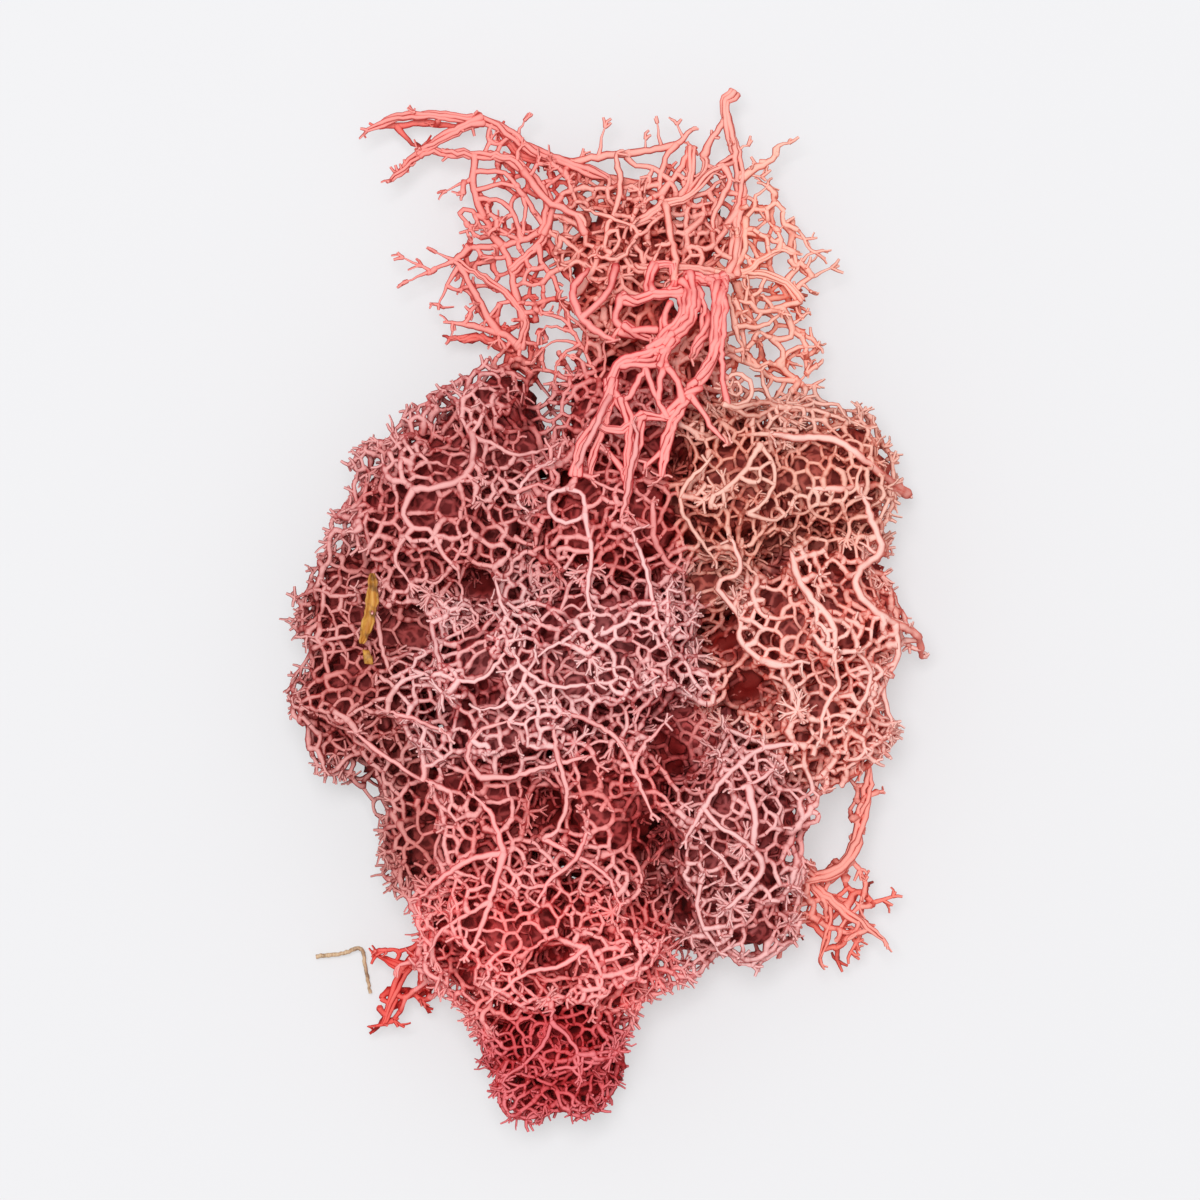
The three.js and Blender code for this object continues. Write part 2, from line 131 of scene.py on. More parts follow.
def search_tree(points: Iterable[Sequence[float]]) -> KDTree:
    """Build a search tree of points."""
    places = [tuple(point) for point in points]
    tree = KDTree(max(len(places), 1))
    for i, place in enumerate(places):
        tree.insert(place, i)
    tree.balance()
    return tree


def add_node(tree: NodeTree, kind: str, settings: dict[str, object] | None = None,
             inputs: dict[str | int, object] | None = None) -> Node:
    """Add a node with its settings, values and links.

    Args:
        tree: Node tree that gets the node.
        kind: Type name of the node.
        settings: Properties of the node.
        inputs: Values or output sockets, by the name or index of the input.

    Returns:
        The new node.
    """
    node = tree.nodes.new(kind)
    for name, value in (settings or {}).items():
        setattr(node, name, value)
    for key, value in (inputs or {}).items():
        if isinstance(value, NodeSocket):
            tree.links.new(value, node.inputs[key])
        else:
            node.inputs[key].default_value = value
    return node


def put(name: str, data: ID) -> Object:
    """Put a new object with its data in the scene."""
    thing = bpy.data.objects.new(name, data)
    bpy.context.scene.collection.objects.link(thing)
    return thing


def evaluated(thing: Object) -> Mesh:
    """Give the plain mesh that an object's modifiers make."""
    return bpy.data.meshes.new_from_object(thing.evaluated_get(bpy.context.evaluated_depsgraph_get()))


# ---- What the clump is made of ----


class Growth(Enum):
    """How a tuft grows."""

    HEAD = "dense head"
    THICKET = "dense flat tangle"
    SPRAY = "open spray"
    BUNDLE = "bundle of stems"


@dataclass(frozen=True)
class Stem:
    """A thick stem.

    Attributes:
        radius: Radius at the root and at the end.
        points: Where it passes, from the root outwards.
    """

    radius: Span
    points: Array

    @classmethod
    def from_row(cls, row: Sequence[int]) -> "Stem":
        """Read a row of STEMS."""
        root, end, *places = row
        return cls((root / RADIUS_UNITS, end / RADIUS_UNITS), np.array(places).reshape(-1, 3) / PLACE_UNITS)


@dataclass(frozen=True)
class Tuft:
    """One tuft of the clump.

    Attributes:
        node: Name of the solid that the tuft stands for.
        growth: How it grows.
        twig: Colour that the dye leaves on a twig in full light.
        tip: Colour of the thin, bleached tips.
        spacing: Distance between its forks, against that of a common dense head.
        girth: Thickness of its twigs, against that of a common dense head.
        lobes: Centre and radius of each round part of its outline, none if it has only its stems.
    """

    node: str
    growth: Growth
    twig: str
    tip: str
    spacing: float
    girth: float
    lobes: tuple[Lobe, ...]


TUFTS = (
    Tuft("centre_head", Growth.HEAD, "#d67c7e", "#f2c4c2", 1.0, 1.0,
         ((0, 0, 8.6, 9.6), (-8, -3.5, 9.4, 9.6))),
    Tuft("centre_low_head", Growth.HEAD, "#da7474", "#f2aeab", 1.0, 1.0,
         ((-0.5, -13, 8.4, 8.6), (-9, -13, 8.2, 8.0), (5.2, -7.4, 5.4, 5.6), (4.6, -17.6, 4.2, 4.6))),
    Tuft("lower_head", Growth.HEAD, "#ec7678", "#f6aba8", 0.85, 0.87,
         ((-8.2, -23.4, 7.6, 8.8), (-1.0, -24.4, 7.0, 7.8), (4.8, -22.2, 3.8, 4.1))),
    Tuft("crimson_head", Growth.HEAD, "#c02c32", "#e67b80", 0.69, 0.75,
         ((-4.4, -33.2, 6.0, 7.0),)),
    Tuft("lower_left_head", Growth.HEAD, "#ba6060", "#d69690", 1.0, 0.95,
         ((-13.6, -15.5, 5.8, 6.6), (-16.6, -9.6, 5.2, 4.8))),
    Tuft("left_head", Growth.HEAD, "#ba5654", "#e2a4a0", 1.0, 0.95,
         ((-20, -3.6, 6.2, 7.4), (-20, 3.2, 6.0, 6.6), (-15.4, 1.0, 5.6, 5.6))),
    Tuft("upper_left_head", Growth.HEAD, "#ca6a6a", "#e9aca9", 1.0, 1.0,
         ((-13.6, 11.2, 7.2, 9.2), (-9.4, 17.6, 6.4, 6.8), (-8.8, 5.0, 6.2, 6.0))),
    Tuft("upper_centre_head", Growth.HEAD, "#d66a6a", "#eca3a0", 1.0, 1.0,
         ((0.5, 11, 8.0, 8.8), (2.0, 18.5, 6.0, 7.2))),
    Tuft("upper_right_head", Growth.HEAD, "#de9080", "#f1bfb0", 0.95, 0.9,
         ((10.5, 13.5, 7.6, 8.6), (17.6, 13.8, 6.4, 7.8), (8.6, 5.6, 5.4, 5.4))),
    Tuft("right_edge_head", Growth.HEAD, "#e88c80", "#f8cac0", 1.0, 1.12,
         ((17.8, 2.2, 7.0, 8.4), (17.4, -6.2, 6.4, 7.4), (11.4, -1.6, 6.2, 6.4))),
    Tuft("right_lobe_head", Growth.HEAD, "#d47c7a", "#f2bebc", 1.02, 1.0,
         ((10.2, -14.2, 8.2, 8.0), (10.0, -20, 6.8, 7.2), (10.2, -7.4, 4.8, 5.0))),
    Tuft("lower_right_spray", Growth.SPRAY, "#e67468", "#f8a598", 1.1, 1.2,
         ((19.2, -14.5, 5.6, 5.8), (19.0, -20.5, 4.4, 4.8), (18.8, -24.2, 3.2, 3.6))),
    Tuft("lower_left_stalk", Growth.SPRAY, "#e0524f", "#f2867e", 1.1, 1.15,
         ((-17.2, -24.4, 3.8, 4.0), (-18.2, -28.8, 2.8, 3.4))),
    Tuft("pink_stem_bundle", Growth.BUNDLE, "#e6585e", "#f89e99", 1.0, 1.1, ()),
    Tuft("fan_centre_spray", Growth.THICKET, "#dc6c62", "#f8b0a4", 0.92, 1.15,
         ((6.8, 24.2, 6.0, 5.4), (0.6, 34.6, 5.4, 6.4), (6.8, 36.2, 5.4, 5.8), (2.0, 28.6, 4.8, 5.6))),
    Tuft("fan_right_spray", Growth.SPRAY, "#e88672", "#fabfae", 1.1, 1.15,
         ((13.4, 34.0, 5.0, 5.4), (12.8, 27.0, 4.8, 5.8))),
    Tuft("fan_left_spray", Growth.SPRAY, "#de6660", "#f69e96", 1.1, 1.1,
         ((-7.2, 38.8, 4.8, 5.4), (-8.4, 31.8, 4.8, 5.4), (-5.6, 26.6, 5.0, 5.0))),
)

# The stems that show: thick ones that run over the heads, and the branches of the open sprays. Each row is
# one stem: its radius at the root and at the end in 1/100 mm, then x, y and z of every place that it passes
# in 1/10 mm.
STEMS: StemRows = {}
STEMS["centre_head"] = (
    (22, 17, -40, 159, 153, -64, 146, 135, -74, 126, 131, -63, 114, 132),
    (22, 22, -33, 138, 154, -20, 130, 156, -18, 114, 156, -32, 106, 153, -45, 112, 148, -46, 129, 148, -33,
     138, 154),
    (24, 19, -16, 111, 156, -12, 78, 155, -15, 51, 159, -12, 28, 168),
    (22, 17, -92, 60, 141, -85, 34, 154, -68, 12, 172),
    (24, 17, -147, 30, 128, -136, -15, 166, -122, -24, 177, -100, -21, 180, -76, 9, 174),
    (26, 17, -76, -3, 181, -66, -18, 182, -40, -30, 178, -12, -27, 170),
    (20, 14, -66, -18, 186, -72, -33, 185, -85, -45, 183, -100, -48, 181),
    (22, 16, 21, 99, 166, 32, 72, 160, 44, 20, 165, 51, 4, 163),
    (20, 14, 51, 51, 152, 52, 27, 155, 64, 15, 150),
    (22, 14, -4, 15, 176, -22, 3, 174, -40, 6, 175, -58, -6, 182),
)
STEMS["centre_low_head"] = (
    (24, 17, -208, -69, 122, -190, -84, 120, -163, -102, 127, -146, -110, 142),
    (22, 14, -182, -51, 134, -158, -57, 142, -134, -68, 159),
    (27, 20, -98, -110, 160, -38, -93, 160, -15, -88, 155),
    (23, 17, -104, -105, 162, -115, -87, 167, -104, -66, 174, -81, -58, 182),
    (24, 17, -38, -51, 176, -10, -60, 159, 13, -78, 154, 38, -135, 161),
    (26, 19, -44, -63, 174, -40, -90, 164, -32, -120, 160, -39, -146, 158, -52, -158, 150),
    (22, 16, 16, -100, 158, 32, -78, 149, 46, -63, 143),
)
STEMS["lower_head"] = (
    (30, 22, -85, -168, 150, -115, -174, 144, -140, -192, 132, -153, -204, 120),
    (27, 20, -85, -168, 150, -94, -138, 156, -110, -120, 158),
    (30, 20, -85, -170, 148, -104, -231, 153, -114, -250, 153),
    (23, 16, -98, -210, 151, -134, -231, 141, -148, -252, 128),
    (24, 17, -16, -150, 163, -26, -174, 150, -46, -189, 146, -58, -210, 153),
    (24, 17, -15, -246, 142, -38, -262, 145, -64, -267, 146, -90, -285, 141),
    (22, 16, -15, -246, 142, -4, -273, 135, -10, -300, 123),
    (22, 16, -52, -156, 154, -4, -183, 144, 10, -207, 139),
)
STEMS["crimson_head"] = (
    (22, 16, -44, -300, 131, -50, -322, 125, -64, -342, 118, -85, -357, 108),
    (22, 16, -44, -309, 128, -26, -330, 125, -22, -354, 124),
)
STEMS["left_head"] = (
    (24, 17, -206, 48, 121, -223, 45, 110, -242, 50, 97, -258, 45, 80),
    (26, 19, -193, 36, 125, -188, 12, 119, -184, -9, 122, -177, -22, 130),
    (24, 16, -208, 15, 112, -230, 9, 104, -250, 12, 96),
)
STEMS["upper_left_head"] = (
    (34, 30, -110, 183, 122, -110, 171, 132, -115, 147, 146, -140, 135, 152, -160, 134, 148),
    (30, 22, -160, 134, 149, -168, 114, 149, -160, 102, 150, -146, 100, 150, -136, 81, 149, -126, 70, 149),
    (24, 16, -108, 177, 124, -92, 171, 123, -74, 163, 128, -46, 168, 146),
    (22, 16, -110, 180, 123, -122, 195, 117, -124, 207, 107, -136, 216, 87),
    (24, 17, -160, 102, 149, -172, 87, 143, -174, 72, 139, -163, 56, 138),
)
STEMS["upper_centre_head"] = (
    (30, 22, 2, 213, 156, -8, 186, 165, -20, 162, 163, -27, 138, 154),
    (29, 20, 26, 180, 166, 16, 126, 164, 12, 108, 166),
    (34, 29, 39, 123, 152, 40, 93, 145, 50, 75, 137, 64, 66, 128),
    (24, 17, -22, 141, 156, -38, 132, 148, -56, 138, 138, -70, 132, 131),
)
STEMS["upper_right_head"] = (
    (30, 20, 128, 174, 144, 114, 148, 155, 96, 132, 160, 81, 124, 157),
    (22, 17, 84, 156, 163, 64, 135, 158, 64, 114, 152, 90, 76, 137),
    (22, 17, 128, 171, 147, 140, 150, 149, 134, 126, 152, 118, 114, 155),
    (24, 17, 98, 204, 160, 122, 195, 138, 146, 204, 114, 170, 198, 102),
    (22, 14, 118, 114, 154, 140, 108, 142, 154, 120, 135),
    (24, 16, 142, 198, 111, 172, 201, 99, 219, 186, 91),
    (22, 20, 98, 218, 136, 101, 227, 136, 112, 230, 136, 121, 222, 136, 120, 211, 136, 108, 204, 136, 98,
     209, 136, 98, 218, 136),
    (19, 17, 104, 218, 130, 107, 223, 130, 113, 221, 130, 112, 213, 130, 107, 212, 130, 104, 218, 130),
    (23, 20, 93, 206, 163, 107, 202, 155, 120, 204, 143, 133, 207, 127, 142, 206, 111),
    (23, 14, 130, 234, 95, 132, 221, 102, 139, 209, 104, 151, 207, 92),
    (22, 14, 168, 212, 84, 177, 206, 91, 192, 206, 95, 198, 199, 100),
)
STEMS["right_edge_head"] = (
    (23, 30, 104, 93, 146, 112, 66, 136, 93, 54, 126, 112, 27, 118, 111, 10, 118, 124, -4, 123, 140, -15,
     129),
    (34, 34, 136, 180, 135, 160, 177, 123, 184, 177, 122, 208, 165, 119, 232, 146, 95, 253, 134, 44),
    (34, 30, 172, 134, 134, 196, 135, 127, 226, 138, 100, 253, 132, 43),
    (34, 32, 214, 129, 122, 223, 105, 114, 230, 84, 114, 213, 69, 125, 208, 52, 133, 223, 34, 128, 242, 22,
     112, 261, 12, 83, 266, -6, 44),
    (34, 32, 154, 84, 131, 160, 60, 140, 172, 42, 147, 188, 22, 149, 190, 0, 149),
    (24, 20, 190, -9, 146, 193, -30, 134, 182, -48, 133, 178, -75, 139),
    (34, 29, 130, -6, 126, 146, -13, 131, 163, -9, 140),
    (29, 22, 242, 22, 115, 244, -6, 104, 232, -30, 97, 238, -57, 92),
    (24, 19, 208, 0, 140, 220, -18, 124, 214, -42, 122, 200, -60, 132),
)
STEMS["right_lobe_head"] = (
    (29, 22, 158, -78, 134, 130, -81, 138, 112, -93, 146, 94, -111, 153, 80, -132, 153, 68, -154, 147),
    (23, 16, 148, -93, 136, 120, -111, 150, 105, -115, 158),
    (22, 22, 80, -129, 156, 94, -146, 158, 112, -156, 158, 123, -165, 154),
    (34, 26, 118, -117, 154, 124, -141, 154, 122, -162, 150, 130, -180, 141, 118, -198, 135, 102, -213, 134),
    (24, 17, 82, -183, 142, 76, -210, 131, 82, -231, 123, 93, -249, 116),
    (22, 14, 110, -192, 139, 98, -174, 150, 85, -162, 154), (22, 14, 112, -90, 145, 98, -60, 115),
)
STEMS["lower_right_spray"] = (
    (45, 60, 220, -96, 64, 220, -117, 64, 208, -168, 64, 192, -186, 64, 172, -193, 64),
    (60, 34, 172, -193, 50, 184, -207, 50, 234, -244, 50),
    (50, 30, 184, -207, 44, 189, -228, 44, 182, -256, 44),
    (40, 26, 142, -192, 44, 152, -216, 44, 148, -248, 44),
    (36, 24, 202, -219, 40, 212, -204, 40, 226, -213, 40, 238, -210, 40),
    (36, 24, 152, -216, 36, 170, -228, 36, 182, -246, 36),
    (30, 20, 214, -228, 36, 214, -243, 36, 207, -255, 36),
)
STEMS["lower_left_stalk"] = (
    (60, 42, -154, -252, 38, -170, -270, 38, -186, -312, 38), (50, 30, -170, -270, 32, -190, -260, 32),
    (40, 26, -178, -288, 24, -163, -291, 24, -154, -300, 24), (36, 24, -183, -303, 22, -190, -315, 22),
)
STEMS["pink_stem_bundle"] = (
    (70, 62, 68, 312, 104, 73, 300, 111, 68, 275, 125, 47, 253, 134),
    (50, 62, 64, 299, 112, 65, 286, 119, 61, 274, 125, 40, 254, 133),
    (60, 42, 53, 262, 130, 42, 250, 134, 15, 240, 139, 7, 232, 142, 4, 217, 147),
    (50, 40, 47, 252, 134, 33, 242, 137, 20, 240, 138),
    (50, 45, 7, 224, 144, -2, 199, 150, -20, 170, 154, -28, 144, 156),
    (40, 34, 7, 210, 146, -10, 165, 151, -13, 144, 153), (50, 50, 55, 257, 132, 48, 244, 137, 48, 234, 141),
    (26, 26, 13, 234, 145, 47, 240, 142), (26, 30, 32, 234, 143, 18, 209, 150, 6, 216, 149),
    (26, 24, 33, 234, 144, 47, 195, 154), (28, 26, 47, 234, 144, 42, 214, 151),
    (28, 34, 51, 237, 142, 59, 225, 147, 63, 209, 152), (24, 30, 47, 195, 153, 59, 210, 151),
    (55, 50, 70, 222, 145, 52, 180, 153, 47, 149, 155),
    (60, 50, 91, 319, 99, 93, 297, 113, 91, 257, 132, 87, 240, 138, 68, 210, 149),
    (40, 36, 100, 312, 106, 90, 250, 136, 73, 219, 148), (26, 24, 102, 299, 115, 97, 260, 134, 97, 207, 152),
    (28, 20, 73, 214, 150, 87, 186, 154, 98, 174, 156), (34, 34, 28, 195, 152, 53, 194, 152, 64, 197, 152),
    (34, 40, -18, 190, 153, 7, 182, 154, 17, 186, 153, 27, 195, 152),
    (50, 45, 12, 210, 149, 20, 184, 152, 17, 122, 156), (40, 34, 31, 190, 152, 23, 149, 155),
    (30, 24, 55, 194, 153, 54, 165, 157), (34, 30, 2, 165, 150, 10, 152, 151, 12, 139, 152),
    (26, 22, 33, 156, 157, 31, 152, 157, 48, 167, 156), (50, 50, 82, 297, 107, 82, 266, 123, 73, 247, 130),
    (50, 50, 63, 309, 103, 73, 312, 102, 87, 309, 102, 108, 314, 100),
    (30, 26, 57, 267, 129, 48, 274, 125, 53, 290, 118),
    (34, 34, -15, 319, 94, -28, 299, 108, -17, 273, 120, 3, 260, 126),
    (30, 30, 8, 322, 92, 2, 299, 107, -16, 282, 117),
    (45, 50, 13, 295, 111, 27, 292, 111, 40, 297, 110, 67, 299, 108),
    (34, 30, 13, 295, 110, 9, 272, 120, 38, 265, 124), (44, 44, 33, 319, 95, 34, 309, 102, 39, 298, 108),
    (34, 40, 40, 322, 93, 55, 322, 96, 57, 307, 102, 55, 298, 108), (18, 18, 54, 290, 115, 38, 260, 129),
    (60, 50, 10, 267, 116, 37, 260, 119),
)
STEMS["fan_centre_spray"] = (
    (60, 44, 106, 311, 76, 110, 358, 60, 114, 394, 53, 100, 457, 49, 106, 474, 49),
    (25, 32, 99, 448, 49, 82, 416, 51), (16, 12, 105, 469, 49, 114, 472, 49),
    (16, 12, 99, 454, 49, 92, 447, 49), (37, 55, 76, 425, 50, 71, 399, 54, 64, 386, 56),
    (26, 44, 82, 416, 51, 85, 407, 52, 68, 381, 58),
    (39, 35, 109, 416, 61, 90, 403, 63, 71, 382, 68, 51, 375, 71),
    (28, 23, 99, 408, 62, 104, 401, 63, 104, 393, 64, 92, 369, 70, 90, 356, 75),
    (23, 21, 99, 398, 53, 81, 381, 57, 73, 378, 58), (32, 30, 50, 375, 71, 60, 314, 101),
    (53, 40, 50, 372, 61, 24, 358, 65, 15, 357, 65),
    (30, 21, 9, 418, 62, 12, 390, 66, 10, 377, 68, -4, 342, 77, 0, 338, 80),
    (23, 19, -13, 370, 67, 17, 358, 76), (21, 18, -26, 369, 66, -20, 364, 68, -19, 345, 73),
    (35, 30, -30, 412, 50, 52, 424, 50, 69, 435, 50), (18, 11, -8, 414, 51, -2, 436, 50),
    (16, 11, 34, 422, 51, 34, 431, 50), (18, 11, 46, 424, 51, 44, 439, 50),
    (16, 11, 66, 431, 50, 63, 437, 50), (48, 44, -30, 405, 38, 26, 393, 41, 51, 398, 41),
    (25, 25, 19, 416, 51, 21, 408, 52, 39, 406, 53, 49, 399, 54),
    (26, 26, 60, 424, 51, 51, 415, 51, 45, 395, 55, 48, 379, 59), (26, 30, 72, 424, 50, 54, 389, 56),
    (40, 35, -30, 390, 39, -19, 379, 41, 8, 367, 47), (30, 30, 15, 390, 42, 39, 386, 44, 49, 375, 47),
    (40, 35, 15, 379, 44, 17, 368, 49, 32, 338, 63), (44, 35, -26, 360, 43, -11, 349, 50, 22, 338, 62),
    (30, 30, 81, 375, 59, 82, 364, 62, 66, 351, 70), (26, 26, 65, 375, 60, 68, 360, 66, 66, 341, 75),
    (26, 35, 75, 341, 73, 82, 338, 73, 90, 341, 70, 99, 352, 64, 105, 368, 58),
    (44, 44, 109, 349, 50, 90, 326, 64, 75, 321, 71),
    (39, 44, 24, 322, 83, 36, 320, 86, 68, 320, 85, 103, 314, 77),
    (39, 37, 36, 320, 86, 35, 308, 91, 43, 297, 95, 52, 301, 95, 56, 311, 91, 55, 320, 87),
    (28, 26, 19, 337, 75, 16, 327, 79, 24, 321, 82, 32, 324, 82, 24, 341, 75, 19, 337, 75),
    (30, 26, 12, 314, 83, 15, 304, 87, 26, 297, 92, 36, 299, 95), (21, 19, 36, 339, 76, 34, 324, 84),
    (18, 16, 46, 340, 87, 39, 322, 97), (23, 21, -8, 332, 79, 4, 328, 84, 15, 330, 87, 19, 336, 86),
    (21, 18, 8, 322, 89, 4, 311, 92, 6, 297, 96), (21, 18, 3, 348, 77, 10, 352, 78, 12, 341, 81, 4, 333, 83),
    (44, 35, -10, 321, 72, -27, 295, 70), (26, 25, 68, 337, 77, 75, 339, 76, 81, 330, 78, 78, 321, 83),
)
STEMS["fan_right_spray"] = (
    (40, 19, 111, 399, 52, 141, 414, 50, 143, 423, 50, 150, 426, 49), (16, 11, 142, 424, 49, 142, 431, 49),
    (16, 11, 133, 411, 50, 141, 405, 50), (21, 13, 110, 415, 50, 114, 424, 50, 120, 425, 50),
    (21, 13, 114, 400, 51, 127, 399, 51), (26, 15, 114, 358, 59, 125, 371, 55, 125, 381, 53, 133, 388, 52),
    (14, 11, 125, 378, 54, 116, 384, 53), (25, 23, 120, 350, 60, 140, 346, 57, 154, 335, 55),
    (30, 30, 118, 360, 58, 116, 334, 66, 108, 319, 73),
    (44, 23, 101, 313, 78, 120, 320, 69, 143, 336, 58, 158, 336, 55),
    (25, 14, 144, 337, 57, 146, 349, 56, 136, 362, 55), (14, 11, 146, 349, 55, 151, 357, 53),
    (44, 40, 93, 314, 81, 132, 316, 65, 155, 306, 59, 162, 299, 57),
    (26, 14, 160, 301, 57, 167, 310, 55, 186, 320, 52), (26, 14, 156, 310, 58, 168, 332, 53, 177, 335, 52),
    (16, 11, 161, 323, 55, 161, 332, 54), (18, 12, 167, 308, 55, 173, 302, 54),
    (26, 23, 103, 296, 92, 109, 268, 89, 115, 253, 84),
    (26, 26, 108, 293, 79, 120, 292, 73, 132, 284, 68, 164, 294, 57),
    (26, 21, 108, 271, 90, 128, 271, 81, 147, 282, 73),
    (32, 26, 150, 284, 61, 156, 274, 60, 155, 264, 60, 143, 261, 63, 132, 266, 68),
    (28, 15, 139, 242, 62, 160, 254, 57, 174, 256, 54), (14, 11, 169, 255, 55, 171, 262, 55),
    (25, 26, 140, 264, 64, 148, 253, 61, 147, 243, 59), (32, 16, 145, 241, 60, 163, 224, 54, 175, 223, 52),
    (14, 11, 162, 225, 54, 169, 232, 53), (18, 12, 150, 273, 61, 165, 280, 57),
    (32, 26, 117, 309, 59, 128, 298, 55, 142, 296, 50, 157, 299, 45), (30, 26, 110, 308, 62, 127, 264, 57),
    (26, 26, 99, 261, 82, 107, 247, 76, 117, 243, 70, 128, 244, 66),
    (26, 23, 115, 253, 73, 132, 234, 63, 155, 221, 55),
)
STEMS["fan_left_spray"] = (
    (37, 53, -201, 438, 49, -177, 449, 49, -154, 451, 49, -111, 447, 49, -92, 442, 49, -58, 420, 49, -2, 399,
     52),
    (26, 32, -190, 441, 36, -156, 445, 36, -126, 442, 36),
    (35, 51, -181, 396, 49, -154, 421, 49, -120, 441, 49, -105, 446, 49),
    (37, 55, -154, 411, 49, -141, 419, 49, -90, 416, 49, -77, 411, 49, -53, 388, 51, -48, 373, 52, -51, 354,
     54),
    (44, 44, -88, 437, 36, -71, 418, 36, -41, 409, 37, -26, 400, 38),
    (35, 30, -69, 407, 60, -53, 381, 62, -26, 366, 67, -19, 354, 70),
    (30, 35, -110, 415, 49, -111, 388, 49, -96, 351, 50, -88, 341, 51),
    (21, 26, -107, 405, 49, -90, 404, 49, -79, 396, 50, -53, 360, 53),
    (19, 23, -109, 391, 49, -81, 392, 50, -69, 383, 50), (18, 12, -113, 400, 49, -131, 389, 49),
    (21, 26, -104, 383, 49, -90, 379, 50, -79, 369, 50, -71, 347, 52),
    (18, 19, -113, 360, 49, -99, 358, 50, -79, 369, 50), (26, 35, -120, 338, 49, -88, 341, 51, -53, 351, 54),
    (26, 39, -88, 341, 51, -81, 324, 52, -73, 283, 55), (19, 16, -71, 386, 50, -68, 373, 51, -71, 347, 52),
    (25, 18, -103, 362, 50, -118, 373, 49, -126, 371, 49),
    (21, 12, -99, 351, 50, -109, 349, 50, -121, 364, 49), (21, 12, -127, 328, 49, -167, 311, 49),
    (14, 11, -148, 321, 49, -167, 329, 49), (19, 11, -127, 328, 49, -143, 335, 49),
    (25, 26, -127, 328, 49, -118, 339, 49), (21, 12, -126, 324, 49, -141, 291, 49),
    (26, 44, -126, 327, 49, -90, 306, 52, -69, 281, 55, -71, 264, 55, -77, 251, 53),
    (26, 35, -124, 324, 49, -94, 272, 52), (18, 12, -81, 291, 53, -88, 292, 52, -91, 288, 52),
    (40, 53, -132, 263, 36, -99, 262, 38, -69, 244, 41),
    (26, 39, -129, 276, 50, -99, 270, 51, -84, 264, 53, -73, 255, 54),
    (35, 40, -51, 354, 54, -56, 343, 54, -77, 321, 53), (35, 35, -51, 351, 41, -36, 321, 50, -24, 306, 56),
    (26, 21, -56, 341, 54, -53, 324, 57, -43, 311, 61, -39, 296, 64),
    (26, 18, -178, 437, 36, -167, 428, 36, -156, 424, 36), (18, 11, -77, 433, 49, -71, 443, 49),
    (18, 11, -139, 450, 49, -132, 456, 49), (19, 14, -54, 283, 71, -41, 279, 75, -30, 270, 79, -4, 225, 80),
    (16, 11, -21, 253, 82, -32, 259, 78, -43, 259, 74, -53, 253, 70),
    (16, 11, -26, 268, 81, -47, 272, 73, -56, 266, 70),
    (16, 11, -17, 247, 82, -15, 260, 85, -19, 272, 84, -26, 281, 82),
    (16, 11, -22, 257, 82, -32, 251, 77, -41, 240, 72, -43, 229, 69),
    (14, 11, -13, 238, 81, -34, 249, 76, -39, 249, 74), (16, 11, -32, 272, 79, -32, 283, 78, -37, 291, 76),
    (14, 11, -6, 227, 80, 0, 240, 86, -2, 255, 91, 4, 268, 96),
)


# ---- Where the twigs may grow ----


